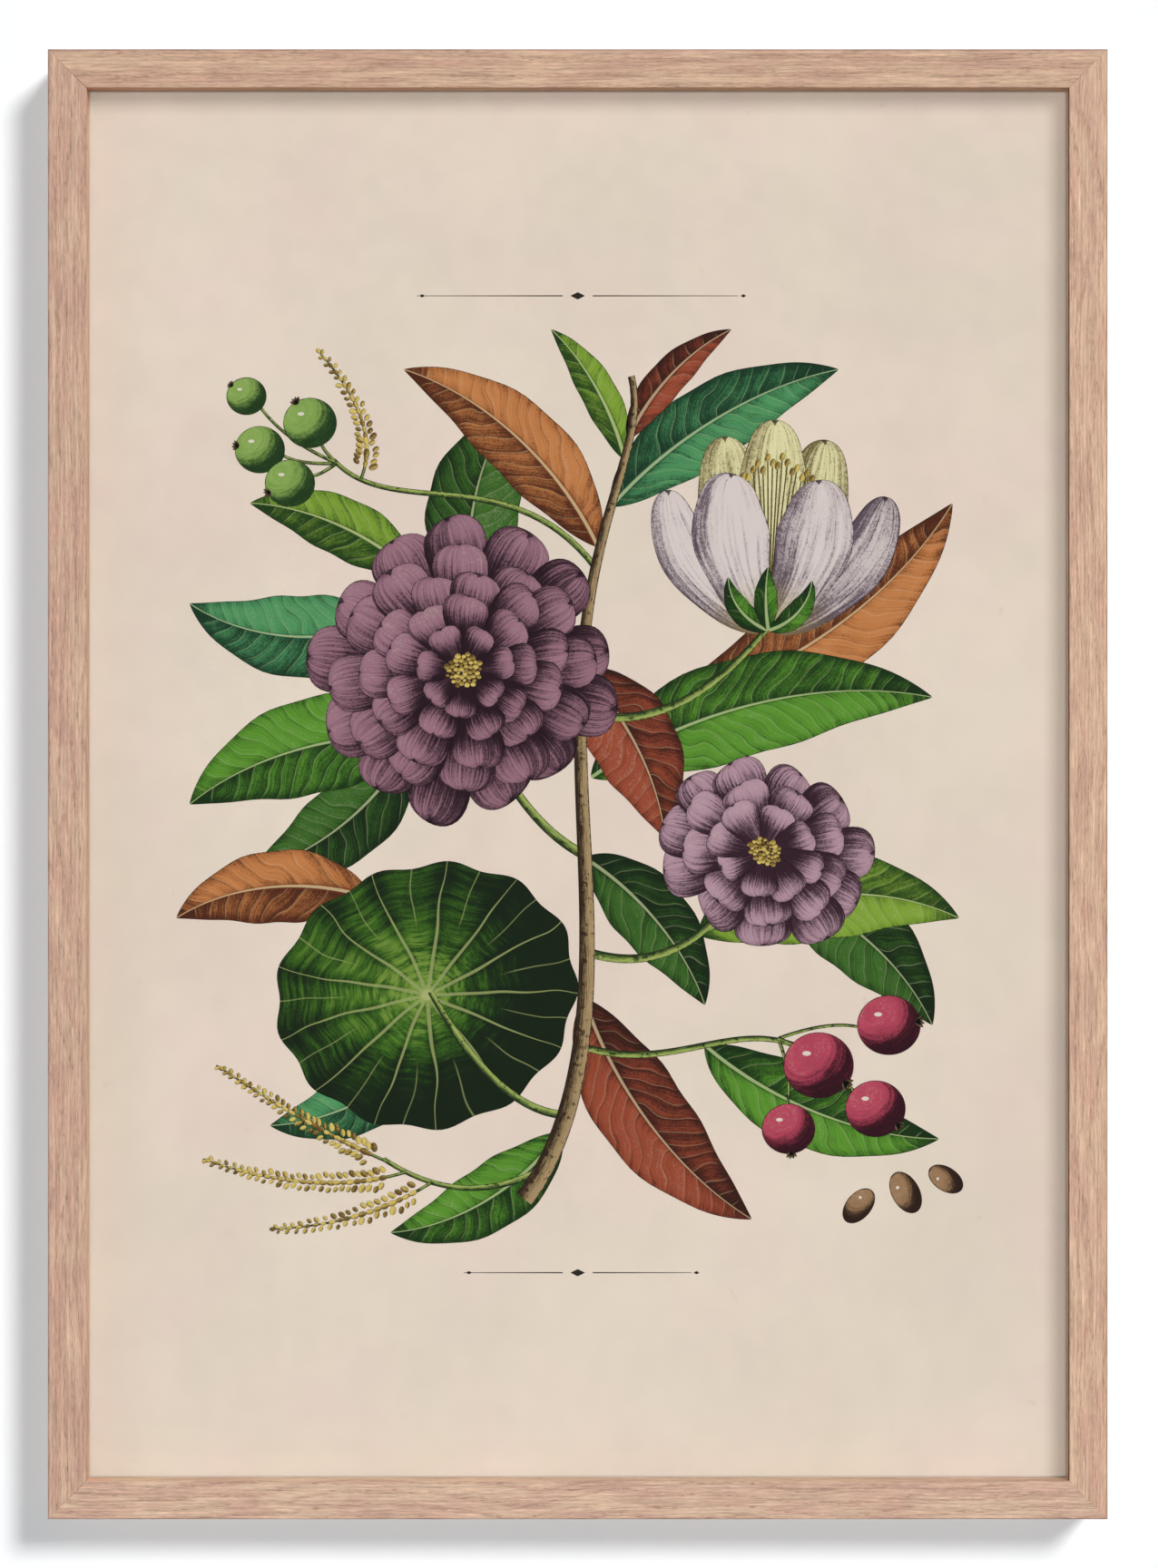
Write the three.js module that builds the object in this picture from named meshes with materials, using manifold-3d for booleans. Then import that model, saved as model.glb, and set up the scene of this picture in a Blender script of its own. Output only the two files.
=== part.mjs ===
// A framed print for an A3 sheet, hung upright on a wall.
//
// Four mitred oak rails hold the glazing, the printed sheet and a fibreboard back in a rebate. Steel tabs
// driven into the rebate wall keep the stack in, and a V nail pins each mitre from behind. A sawtooth
// hanger on the top rail and two soft pads on the bottom one carry the frame on the wall.
//
// Millimetres, +X right, +Z up, -Y out of the wall towards the viewer. The origin is on the wall plane,
// behind the middle notch of the hanger, where the wall hook bears.

import * as THREE from "three";
import { mergeVertices } from "three/addons/utils/BufferGeometryUtils.js";
import Module from "manifold-3d";

const wasm = await Module();
wasm.setup();

// ---- driving dimensions ----

const FRAME = { width: 315, height: 437, depth: 30 }; // outside of the rails

const MOULDING = {
  face: 11.5, // width seen from the front
  lap: 3.5, // how far the front lip laps over the rebate
  lip: 8, // from the front of the moulding to the glazing
  frontRound: 0.8, // eased arrises
  backRound: 0.5,
};

const PRINT = { width: 297, height: 420, thickness: 0.3 }; // an A3 sheet of heavy paper
const GLAZING_THICKNESS = 2;
const BACKING_THICKNESS = 3;
const AIR_GAP = 0.3; // between the glazing and the printed face
const PANEL_CLEARANCE = 0.5; // round the glazing and the backing, in the rebate

const TAB = { length: 15, width: 6, thickness: 0.5, driven: 5, point: 2, corner: 0.8, slack: 0.15 };
const SHORT_RAIL_TABS = [-80, 80]; // from the middle of the rail
const LONG_RAIL_TABS = [-150, 0, 150];

const V_NAIL = { leg: 4.8, thickness: 0.6, depth: 7, sunk: 0.2, fromRebate: 1.8, slack: 0.15 };

const HANGER = { length: 44, height: 7.6, thickness: 0.9, foot: 7.5, ramp: 1.5, lift: 1.4, endRound: 2.4 };
const TEETH = { count: 9, pitch: 2.4, depth: 1.2 };
const PIN = { length: 10, radius: 0.6, point: 1.2, headRadius: 1.5, headHeight: 0.5, slack: 0.15 };
const PIN_INSET = 3.6; // from the end of the hanger plate
const PIN_HOLE_RADIUS = 0.9; // in the hanger plate

const PAD = { thickness: 3, radius: 3.6, flatRadius: 2.4, inset: 17 }; // inset from the side of the frame

const CUT_PAST = 1; // how far a cutter runs past the face that it opens

// ---- what follows from them ----

const HALF_WIDTH = FRAME.width / 2;
const HALF_HEIGHT = FRAME.height / 2;
const BACK_WIDTH = MOULDING.face - MOULDING.lap; // of a rail, seen from behind

const RAIL_BACK_Y = -PAD.thickness;
const FRONT_Y = RAIL_BACK_Y - FRAME.depth;
const GLAZING_Y = FRONT_Y + MOULDING.lip;
const PRINT_Y = GLAZING_Y + GLAZING_THICKNESS + AIR_GAP;
const BACKING_Y = PRINT_Y + PRINT.thickness;
const TAB_Y = BACKING_Y + BACKING_THICKNESS;
const PIN_HEAD_Y = RAIL_BACK_Y + HANGER.thickness;

const HANGER_REACH = HALF_HEIGHT - BACK_WIDTH / 2; // from the middle of the frame up to the hanger's
const NOTCH_REACH = HANGER_REACH - HANGER.height / 2 + TEETH.depth;
const PIN_X = HANGER.length / 2 - PIN_INSET;

// ---- finishes ----

const oak = new THREE.MeshStandardMaterial({ color: 0xcba58b, roughness: 0.62, metalness: 0 });
const paper = new THREE.MeshStandardMaterial({ color: 0xe2d2c2, roughness: 0.85, metalness: 0 });
const fibreboard = new THREE.MeshStandardMaterial({ color: 0x8a6546, roughness: 0.8, metalness: 0 });
const steel = new THREE.MeshStandardMaterial({ color: 0xb9bbbe, roughness: 0.38, metalness: 1 });
const brass = new THREE.MeshStandardMaterial({ color: 0xc9a961, roughness: 0.35, metalness: 1 });
const rubber = new THREE.MeshStandardMaterial({ color: 0x3a3836, roughness: 0.75, metalness: 0 });
const glass = new THREE.MeshStandardMaterial({
  color: 0xf2f7f4,
  roughness: 0.04,
  metalness: 0,
  transparent: true,
  opacity: 0.15,
});

// ---- ways of making a solid ----

// An outline drawn in X and Z, as seen from the front, made solid from one depth to another.
function slab(outline, frontY, backY) {
  const geometry = new THREE.ExtrudeGeometry(outline, {
    depth: backY - frontY,
    bevelEnabled: false,
    curveSegments: 8,
  });
  return geometry.rotateX(Math.PI / 2).translate(0, backY, 0);
}

// A round piece about the Y axis, from its [radius, y] profile, listed from front to back.
function turned(profile, sides) {
  return new THREE.LatheGeometry(
    profile.map(([radius, y]) => new THREE.Vector2(radius, y)),
    sides,
  );
}

function polygon(points) {
  return new THREE.Shape(points.map(([x, z]) => new THREE.Vector2(x, z)));
}

// A closed geometry as a manifold-3d solid, ready to cut.
function solid(geometry) {
  const bare = geometry.clone();
  bare.deleteAttribute("normal");
  bare.deleteAttribute("uv");
  const merged = mergeVertices(bare);
  return new wasm.Manifold(
    new wasm.Mesh({
      numProp: 3,
      vertProperties: merged.attributes.position.array,
      triVerts: new Uint32Array(merged.index.array),
    }),
  );
}

function geometryOf(made) {
  const { vertProperties, triVerts } = made.getMesh();
  const geometry = new THREE.BufferGeometry();
  geometry.setAttribute("position", new THREE.BufferAttribute(vertProperties, 3));
  geometry.setIndex(new THREE.BufferAttribute(triVerts, 1));
  geometry.computeVertexNormals();
  return geometry;
}

function piece(name, geometry, material) {
  const mesh = new THREE.Mesh(geometry, material);
  mesh.name = name;
  return mesh;
}

// ---- tabs ----
//
// Drawn in a side's own axes: X along the rail, Z out from the wall of the rebate into the wood.

// The driven end tapers to a blunt point, and the free end lies flat on the backing.
const tabOutline = polygon([
  [TAB.point - TAB.width / 2, TAB.driven],
  [TAB.width / 2 - TAB.point, TAB.driven],
  [TAB.width / 2, TAB.driven - TAB.point],
  [TAB.width / 2, TAB.driven - TAB.length + TAB.corner],
  [TAB.width / 2 - TAB.corner, TAB.driven - TAB.length],
  [TAB.corner - TAB.width / 2, TAB.driven - TAB.length],
  [-TAB.width / 2, TAB.driven - TAB.length + TAB.corner],
  [-TAB.width / 2, TAB.driven - TAB.point],
]);
const tabGeometry = slab(tabOutline, TAB_Y, TAB_Y + TAB.thickness);

function tabSlot() {
  const depth = TAB.driven + TAB.slack;
  return new THREE.BoxGeometry(
    TAB.width + 2 * TAB.slack,
    TAB.thickness + 2 * TAB.slack,
    depth + CUT_PAST,
  ).translate(0, TAB_Y + TAB.thickness / 2, (depth - CUT_PAST) / 2);
}

// ---- V nails ----

// The point of the V is on the mitre towards the rebate, and one leg crosses the grain of each rail.
// Drawn from the corner of the rebate at the top right, and grown all round by a slack.
function vNailOutline(slack) {
  const near = V_NAIL.fromRebate - slack;
  const inside = V_NAIL.fromRebate + V_NAIL.thickness + slack;
  const far = V_NAIL.fromRebate + V_NAIL.leg + slack;
  return polygon([
    [near, near],
    [far, near],
    [far, inside],
    [inside, inside],
    [inside, far],
    [near, far],
  ]);
}

const vNailBackY = RAIL_BACK_Y - V_NAIL.sunk;
const vNailGeometry = slab(vNailOutline(0), vNailBackY - V_NAIL.depth, vNailBackY);

function vNailPocket() {
  const frontY = vNailBackY - V_NAIL.depth - V_NAIL.slack;
  return slab(vNailOutline(V_NAIL.slack), frontY, RAIL_BACK_Y + CUT_PAST);
}

// ---- sawtooth hanger ----
//
// Drawn about the middle of the plate.

// The strip bent to shape, seen from above: a foot at each end and a bridge that stands off the rail.
function bentStrip() {
  const end = HANGER.length / 2;
  const foot = end - HANGER.foot;
  const bridge = foot - HANGER.ramp;
  const raised = RAIL_BACK_Y + HANGER.lift;
  const underside = [
    [-end, RAIL_BACK_Y],
    [-foot, RAIL_BACK_Y],
    [-bridge, raised],
    [bridge, raised],
    [foot, RAIL_BACK_Y],
    [end, RAIL_BACK_Y],
  ];
  const topside = underside.map(([x, y]) => [x, y + HANGER.thickness]).reverse();
  const depth = HANGER.height + 2 * CUT_PAST;
  const strip = new THREE.ExtrudeGeometry(polygon([...underside, ...topside]), {
    depth,
    bevelEnabled: false,
  });
  return strip.translate(0, 0, -depth / 2);
}

// The plate's outline: rounded ends, a row of teeth along the bottom and a hole in each foot.
function hangerOutline() {
  const end = HANGER.length / 2;
  const top = HANGER.height / 2;
  const bottom = -top;
  const round = HANGER.endRound;
  const teethEnd = (TEETH.count / 2) * TEETH.pitch;
  const outline = new THREE.Shape();
  outline.moveTo(-end, bottom + round);
  outline.quadraticCurveTo(-end, bottom, -end + round, bottom);
  for (let i = 0; i < TEETH.count; i += 1) {
    const toothStart = i * TEETH.pitch - teethEnd;
    outline.lineTo(toothStart, bottom);
    outline.lineTo(toothStart + TEETH.pitch / 2, bottom + TEETH.depth);
  }
  outline.lineTo(teethEnd, bottom);
  outline.lineTo(end - round, bottom);
  outline.quadraticCurveTo(end, bottom, end, bottom + round);
  outline.lineTo(end, top - round);
  outline.quadraticCurveTo(end, top, end - round, top);
  outline.lineTo(-end + round, top);
  outline.quadraticCurveTo(-end, top, -end, top - round);
  for (const x of [-PIN_X, PIN_X]) {
    outline.holes.push(new THREE.Path().absarc(x, 0, PIN_HOLE_RADIUS, 0, 2 * Math.PI, true));
  }
  return outline;
}

function hangerPlate() {
  const blank = slab(hangerOutline(), RAIL_BACK_Y - CUT_PAST, CUT_PAST);
  return geometryOf(solid(bentStrip()).intersect(solid(blank)));
}

// A flat-headed pin through the plate into the rail, with its shank grown all round by a slack.
function pin(slack) {
  const tipY = PIN_HEAD_Y - PIN.length;
  const shank = PIN.radius + slack;
  return turned(
    [
      [0, tipY - slack],
      [shank, tipY + PIN.point],
      [shank, PIN_HEAD_Y],
      [PIN.headRadius, PIN_HEAD_Y],
      [PIN.headRadius - PIN.headHeight / 2, PIN_HEAD_Y + PIN.headHeight],
      [0, PIN_HEAD_Y + PIN.headHeight],
    ],
    12,
  );
}

// ---- wall pads ----

// A domed pad stuck to the rail, ending in a flat that touches the wall.
function wallPad() {
  const rises = [0, 0.35, 0.7, 0.9, 1]; // share of the thickness
  const dome = rises.map((rise) => [
    PAD.flatRadius + (PAD.radius - PAD.flatRadius) * Math.sqrt(1 - rise * rise),
    RAIL_BACK_Y + PAD.thickness * rise,
  ]);
  return turned([[0, RAIL_BACK_Y], ...dome, [0, 0]], 24);
}

// ---- rails ----
//
// Drawn in a side's own axes: X along the rail, and Z out from the middle of the frame.

// The moulding's section: X is the distance in from the outer face, Y is the depth.
function mouldingSection() {
  const { face, frontRound, backRound } = MOULDING;
  const section = new THREE.Shape();
  section.moveTo(backRound, RAIL_BACK_Y);
  section.quadraticCurveTo(0, RAIL_BACK_Y, 0, RAIL_BACK_Y - backRound);
  section.lineTo(0, FRONT_Y + frontRound);
  section.quadraticCurveTo(0, FRONT_Y, frontRound, FRONT_Y);
  section.lineTo(face - frontRound, FRONT_Y);
  section.quadraticCurveTo(face, FRONT_Y, face, FRONT_Y + frontRound);
  section.lineTo(face, GLAZING_Y);
  section.lineTo(BACK_WIDTH, GLAZING_Y);
  section.lineTo(BACK_WIDTH, RAIL_BACK_Y);
  return section;
}

// A length of moulding with its outer face at a reach from the middle, and both ends mitred.
function mitredLength(halfLength, reach) {
  const length = new THREE.ExtrudeGeometry(mouldingSection(), {
    depth: 1,
    bevelEnabled: false,
    curveSegments: 4,
  });
  const position = length.attributes.position;
  for (let i = 0; i < position.count; i += 1) {
    const inward = position.getX(i);
    const end = position.getZ(i) > 0.5 ? 1 : -1;
    position.setXYZ(i, end * (halfLength - inward), position.getY(i), reach - inward);
  }
  return length;
}

function rail({ halfLength, reach, tabs, pins }) {
  const cutters = tabs.map((x) => tabSlot().translate(x, 0, reach - BACK_WIDTH));
  for (const end of [-1, 1]) {
    const pocket = vNailPocket().rotateY(end < 0 ? -Math.PI / 2 : 0);
    cutters.push(pocket.translate(end * (halfLength - BACK_WIDTH), 0, reach - BACK_WIDTH));
  }
  for (const x of pins) cutters.push(pin(PIN.slack).translate(x, 0, HANGER_REACH));
  const uncut = solid(mitredLength(halfLength, reach));
  return geometryOf(cutters.reduce((made, cutter) => made.subtract(solid(cutter)), uncut));
}

// ---- the frame put together ----

// A flat panel in the rebate, from its front face back.
function panel(name, { width, height, thickness }, frontY, material) {
  const mesh = piece(name, new THREE.BoxGeometry(width, thickness, height), material);
  mesh.position.y = frontY + thickness / 2;
  return mesh;
}

// One side: its rail, and the tabs driven into it. The group is turned so that its Z points outwards.
function frameSide(name, quarterTurns, dimensions) {
  const group = new THREE.Group();
  group.rotation.y = (quarterTurns * Math.PI) / 2;
  group.add(piece(`rail_${name}`, rail(dimensions), oak));
  dimensions.tabs.forEach((x, i) => {
    const tab = piece(`tab_${name}_${i + 1}`, tabGeometry, steel);
    tab.position.set(x, 0, dimensions.reach - BACK_WIDTH);
    group.add(tab);
  });
  return group;
}

function vNail(name, quarterTurns, signX, signZ) {
  const mesh = piece(`v_nail_${name}`, vNailGeometry, steel);
  mesh.rotation.y = (quarterTurns * Math.PI) / 2;
  mesh.position.set(signX * (HALF_WIDTH - BACK_WIDTH), 0, signZ * (HALF_HEIGHT - BACK_WIDTH));
  return mesh;
}

function hanger() {
  const group = new THREE.Group();
  group.position.z = HANGER_REACH;
  group.add(piece("hanger_plate", hangerPlate(), brass));
  for (const [name, x] of Object.entries({ left: -PIN_X, right: PIN_X })) {
    const mesh = piece(`hanger_pin_${name}`, pin(0), steel);
    mesh.position.x = x;
    group.add(mesh);
  }
  return group;
}

const shortSide = { halfLength: HALF_WIDTH, reach: HALF_HEIGHT, tabs: SHORT_RAIL_TABS, pins: [] };
const longSide = { halfLength: HALF_HEIGHT, reach: HALF_WIDTH, tabs: LONG_RAIL_TABS, pins: [] };
const opening = {
  width: FRAME.width - 2 * (BACK_WIDTH + PANEL_CLEARANCE),
  height: FRAME.height - 2 * (BACK_WIDTH + PANEL_CLEARANCE),
};

const frame = new THREE.Group();
frame.position.z = -NOTCH_REACH;
frame.add(
  frameSide("top", 0, { ...shortSide, pins: [-PIN_X, PIN_X] }),
  frameSide("right", 1, longSide),
  frameSide("bottom", 2, shortSide),
  frameSide("left", 3, longSide),
  vNail("top_right", 0, 1, 1),
  vNail("bottom_right", 1, 1, -1),
  vNail("bottom_left", 2, -1, -1),
  vNail("top_left", 3, -1, 1),
  panel("glazing", { ...opening, thickness: GLAZING_THICKNESS }, GLAZING_Y, glass),
  panel("print", PRINT, PRINT_Y, paper),
  panel("backing_board", { ...opening, thickness: BACKING_THICKNESS }, BACKING_Y, fibreboard),
  hanger(),
);

for (const [name, side] of Object.entries({ left: -1, right: 1 })) {
  const pad = piece(`wall_pad_${name}`, wallPad(), rubber);
  pad.position.set(side * (HALF_WIDTH - PAD.inset), 0, BACK_WIDTH / 2 - HALF_HEIGHT);
  frame.add(pad);
}

const framedPrint = new THREE.Group();
framedPrint.add(frame);

export default framedPrint;
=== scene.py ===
import math
import random

import bmesh
import bpy
from mathutils import Matrix, Vector


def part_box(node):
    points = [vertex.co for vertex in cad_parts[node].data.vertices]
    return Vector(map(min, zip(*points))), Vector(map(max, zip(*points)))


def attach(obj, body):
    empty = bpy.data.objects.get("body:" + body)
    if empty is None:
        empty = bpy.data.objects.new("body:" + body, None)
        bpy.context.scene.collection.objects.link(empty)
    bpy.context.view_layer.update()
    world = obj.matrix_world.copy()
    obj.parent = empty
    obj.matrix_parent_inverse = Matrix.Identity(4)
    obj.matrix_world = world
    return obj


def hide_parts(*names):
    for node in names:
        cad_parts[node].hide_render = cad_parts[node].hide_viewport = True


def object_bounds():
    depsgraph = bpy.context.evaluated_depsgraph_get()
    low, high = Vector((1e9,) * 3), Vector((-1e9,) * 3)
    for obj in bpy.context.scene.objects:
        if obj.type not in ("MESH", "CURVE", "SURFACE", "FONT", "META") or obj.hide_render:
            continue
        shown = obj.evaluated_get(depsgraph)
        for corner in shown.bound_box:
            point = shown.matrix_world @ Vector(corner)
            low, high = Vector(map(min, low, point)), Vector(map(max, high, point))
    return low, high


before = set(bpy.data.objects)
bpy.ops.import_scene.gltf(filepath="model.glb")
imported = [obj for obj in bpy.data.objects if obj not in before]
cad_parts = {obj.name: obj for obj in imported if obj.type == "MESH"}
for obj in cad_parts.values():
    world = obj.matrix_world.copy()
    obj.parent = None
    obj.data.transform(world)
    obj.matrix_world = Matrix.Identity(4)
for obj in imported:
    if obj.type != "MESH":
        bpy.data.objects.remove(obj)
cad_low, cad_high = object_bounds()

# ---- wall, floor and studio light ----
# The frame hangs on a plain white wall over a grey floor. A soft key light stands high on the right in
# front, with a narrower twin for the wall and floor, and a cooler light straight in front fills the
# shadows. The wall is open from behind, to show the frame's back.

MM = 0.001
WALL_SIZE = 8.0
WALL_GAP = 0.2 * MM  # behind the pads that rest on it
HANGING_HEIGHT = 1.7  # of the hook, over the floor
KEY_FROM = (0.425, -1.0, 0.43)


def deselect_all():
    """Clears the selection in object mode."""
    for other in bpy.context.selected_objects:
        other.select_set(False)


def add(tree, kind, inputs=None, **settings):
    """Adds a node, sets its settings, and sets or links each of its inputs by name or number."""
    made = tree.nodes.new(kind)
    for setting, value in settings.items():
        setattr(made, setting, value)
    for socket, value in (inputs or {}).items():
        if isinstance(value, bpy.types.NodeSocket):
            tree.links.new(value, made.inputs[socket])
        else:
            made.inputs[socket].default_value = value
    return made


def empty_material(name):
    """A node material with only its output, as (material, tree, output)."""
    made = bpy.data.materials.new(name)
    made.use_nodes = True
    made.node_tree.nodes.clear()
    return made, made.node_tree, made.node_tree.nodes.new("ShaderNodeOutputMaterial")


def matt_paint(name, colour):
    """Flat emulsion paint with a faint roller texture, open to what is behind it."""
    made, tree, output = empty_material(name)
    place = add(tree, "ShaderNodeTexCoord").outputs["Object"]
    stipple = add(tree, "ShaderNodeTexNoise", {"Vector": place, "Scale": 900.0, "Detail": 2.0})
    inputs = {"Height": stipple.outputs["Fac"], "Strength": 0.04, "Distance": 0.0002}
    relief = add(tree, "ShaderNodeBump", inputs).outputs[0]
    inputs = {"Base Color": (*colour, 1), "Roughness": 0.9, "Specular IOR Level": 0.1, "Normal": relief}
    paint = add(tree, "ShaderNodeBsdfPrincipled", inputs)
    behind = add(tree, "ShaderNodeNewGeometry").outputs["Backfacing"]
    shadow_ray = add(tree, "ShaderNodeLightPath").outputs["Is Shadow Ray"]
    either = add(tree, "ShaderNodeMath", {0: behind, 1: shadow_ray}, operation="MAXIMUM")
    clear = add(tree, "ShaderNodeBsdfTransparent")
    inputs = {0: either.outputs[0], 1: paint.outputs[0], 2: clear.outputs[0]}
    mixed = add(tree, "ShaderNodeMixShader", inputs)
    tree.links.new(mixed.outputs[0], output.inputs["Surface"])
    return made


deselect_all()
bpy.ops.mesh.primitive_plane_add(size=WALL_SIZE, location=(0, WALL_GAP, 0), rotation=(math.pi / 2, 0, 0))
wall = bpy.context.object
wall.name = "wall"
wall.data.materials.append(matt_paint("wall_emulsion", (0.762, 0.774, 0.778)))

bpy.ops.mesh.primitive_plane_add(size=WALL_SIZE, location=(0, 0, -HANGING_HEIGHT))
floor = bpy.context.object
floor.name = "floor"
floor.data.materials.append(matt_paint("floor_paint", (0.26, 0.257, 0.253)))


def distant_light(name, towards, strength, degrees, colour=(1, 1, 1)):
    """A soft light far away in a direction, as wide as an angle."""
    lamp = bpy.data.lights.new(name, "SUN")
    lamp.energy = strength
    lamp.angle = math.radians(degrees)
    lamp.color = colour
    holder = bpy.data.objects.new(name, lamp)
    holder.rotation_mode = "QUATERNION"
    holder.rotation_quaternion = Vector(towards).to_track_quat("Z", "Y")
    bpy.context.scene.collection.objects.link(holder)
    return holder


def limit_reach(light, state, surfaces):
    """Lets a light reach only these surfaces, with INCLUDE, or all but these, with EXCLUDE."""
    listed = bpy.data.collections.new(f"{light.name}_reach")
    for surface in surfaces:
        listed.objects.link(surface)
    for entry in listed.collection_objects:
        entry.light_linking.link_state = state
    light.light_linking.receiver_collection = listed


limit_reach(distant_light("key_light", KEY_FROM, 1.60, 27.0), "EXCLUDE", [wall, floor])
limit_reach(distant_light("wall_light", KEY_FROM, 2.45, 12.0), "INCLUDE", [wall, floor])
front_fill = distant_light("front_fill", (0.0, -1.0, 0.0), 1.58, 8, (0.97, 1.0, 1.03))
front_fill.visible_glossy = False
front_fill.visible_transmission = False
distant_light("back_light", (0.5, 1.0, 0.6), 1.9, 20)
distant_light("back_fill", (-0.35, 1.0, 0.1), 1.0, 40)

room = bpy.data.worlds.new("white_room")
room.use_nodes = True
seen = add(room.node_tree, "ShaderNodeLightPath").outputs["Is Camera Ray"]
brightness = {"Value": seen, "To Min": 0.08, "To Max": 0.75}  # as a light, and as the camera sees it
strength = add(room.node_tree, "ShaderNodeMapRange", brightness).outputs[0]
background = room.node_tree.nodes["Background"]
background.inputs["Color"].default_value = (1, 1, 1, 1)
room.node_tree.links.new(strength, background.inputs["Strength"])
bpy.context.scene.world = room
bpy.context.scene.view_settings.view_transform = "Standard"

# ---- camera ----
# A long lens 1.6 m away looks straight at the frame, a hair right of its middle, and takes in a strip of
# wall all round it.

FIELD_HEIGHT = 465.9 * MM  # what the picture takes in, at the front of the frame
DISTANCE = 1.6
AIM_RIGHT, AIM_UP = 0.38 * MM, 0.08 * MM  # of the middle of the frame
SENSOR = 36.0

camera_data = bpy.data.cameras.new("camera")
camera_data.sensor_width = SENSOR
camera_data.lens = SENSOR * DISTANCE / FIELD_HEIGHT
camera_data.clip_start = 0.01
camera_data.clip_end = 50
camera = bpy.data.objects.new("camera", camera_data)
middle_x = (cad_low.x + cad_high.x) / 2 + AIM_RIGHT
middle_z = (cad_low.z + cad_high.z) / 2 + AIM_UP
camera.location = (middle_x, cad_low.y - DISTANCE, middle_z)
camera.rotation_euler = (math.pi / 2, 0, 0)
bpy.context.scene.collection.objects.link(camera)
bpy.context.scene.camera = camera

# ---- oak rails ----
# Four lengths of solid oak moulding with eased arrises, rebated at the back for the glazing and mitred at
# the corners. The wood is sanded, lightly limed and left matt, with its open pores showing.

top_low, top_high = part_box("rail_top")

HALF_WIDTH = (cad_high.x - cad_low.x) / 2
HALF_HEIGHT = (cad_high.z - cad_low.z) / 2
MIDDLE_Z = (cad_low.z + cad_high.z) / 2
FACE = top_high.z - top_low.z
FRONT_Y, BACK_Y = top_low.y, top_high.y
GLAZING_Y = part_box("glazing")[0].y
BACK_WIDTH = 8.0 * MM  # of a rail, behind the rebate
FRONT_ROUND = 0.8 * MM
SIGHT_ROUND = 0.35 * MM
BACK_ROUND = 0.5 * MM
# How far each board's mitres fall short at the sight edge, as a share of the width of its face.
MITRE_OPENS = {"top": 0.006, "right": 0.002, "bottom": 0.003, "left": 0.008}
SLACK = 0.15 * MM  # round what is driven into a rail
NAIL_THICKNESS = 0.6 * MM
PIN_RADIUS = 0.6 * MM
SAME = 1e-6  # metres within which two places count as one


def name_piece(name):
    """Names the active object and its mesh, and puts its place into its mesh."""
    made = bpy.context.object
    made.name = name
    made.data.name = name
    bpy.ops.object.transform_apply(location=True, rotation=True, scale=True)
    return made


def block(name, low, high):
    """A box between two corners."""
    deselect_all()
    low, high = Vector(low), Vector(high)
    bpy.ops.mesh.primitive_cube_add(size=1, location=(low + high) / 2, scale=high - low)
    return name_piece(name)


def select_only(*pieces):
    """Selects these pieces and nothing else, with the first one active."""
    deselect_all()
    for piece in pieces:
        piece.select_set(True)
    bpy.context.view_layer.objects.active = pieces[0]


def edit(piece):
    """Opens a piece in edit mode, with nothing else selected."""
    select_only(piece)
    bpy.ops.object.mode_set(mode="EDIT")


def pick(piece, kind, wanted):
    """Selects the corners, edges or faces of the piece in edit mode whose corners all pass a test."""
    bpy.ops.mesh.select_all(action="DESELECT")
    bpy.ops.mesh.select_mode(type=kind)
    mesh = bmesh.from_edit_mesh(piece.data)
    if kind == "VERT":
        for vertex in mesh.verts:
            vertex.select_set(wanted(vertex.co))
    for part in {"VERT": [], "EDGE": mesh.edges, "FACE": mesh.faces}[kind]:
        part.select_set(all(wanted(vertex.co) for vertex in part.verts))
    mesh.select_flush_mode()
    bmesh.update_edit_mesh(piece.data)


def done():
    """Closes edit mode."""
    bpy.ops.object.mode_set(mode="OBJECT")


def apply_modifier(piece, kind, **settings):
    """Gives a piece a modifier with these settings, and applies it."""
    select_only(piece)
    modifier = piece.modifiers.new(kind.lower(), kind)
    for setting, value in settings.items():
        setattr(modifier, setting, value)
    bpy.ops.object.modifier_apply(modifier=modifier.name)


def cut_away(piece, cutters):
    """Cuts the cutters out of a piece, and removes them."""
    for cutter in cutters:
        apply_modifier(piece, "BOOLEAN", operation="DIFFERENCE", object=cutter, solver="EXACT")
        bpy.data.objects.remove(cutter)


def smooth(piece, degrees=35):
    """Shades the rounded edges smoothly, and keeps the flats between them flat."""
    select_only(piece)
    bpy.ops.object.shade_smooth_by_angle(angle=math.radians(degrees))
    apply_modifier(piece, "WEIGHTED_NORMAL", keep_sharp=True)


def in_place(along, outward, s, r, y):
    """The point a distance along a rail, a distance out from the middle of the frame, and at a depth."""
    return Vector((0, y, MIDDLE_Z)) + along * s + outward * r


def box_in_place(name, along, outward, s, r, y):
    """A box over three ranges: along a rail, out from the middle of the frame, and in depth."""
    corners = [in_place(along, outward, s[i], r[i], y[i]) for i in (0, 1)]
    return block(name, map(min, *corners), map(max, *corners))


CORNERS = ["top_right", "bottom_right", "bottom_left", "top_left"]
SIDES = {
    "top": (Vector((1, 0, 0)), Vector((0, 0, 1)), HALF_WIDTH, HALF_HEIGHT),
    "right": (Vector((0, 0, -1)), Vector((1, 0, 0)), HALF_HEIGHT, HALF_WIDTH),
    "bottom": (Vector((-1, 0, 0)), Vector((0, 0, -1)), HALF_WIDTH, HALF_HEIGHT),
    "left": (Vector((0, 0, 1)), Vector((-1, 0, 0)), HALF_HEIGHT, HALF_WIDTH),
}


def grown(low, high, past=0.0):
    """A cutter round a box, with slack, that also runs past the back of the frame by a distance."""
    slack = Vector((SLACK, SLACK, SLACK))
    return block("cutter", low - slack, high + slack + Vector((0, past, 0)))


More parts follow.
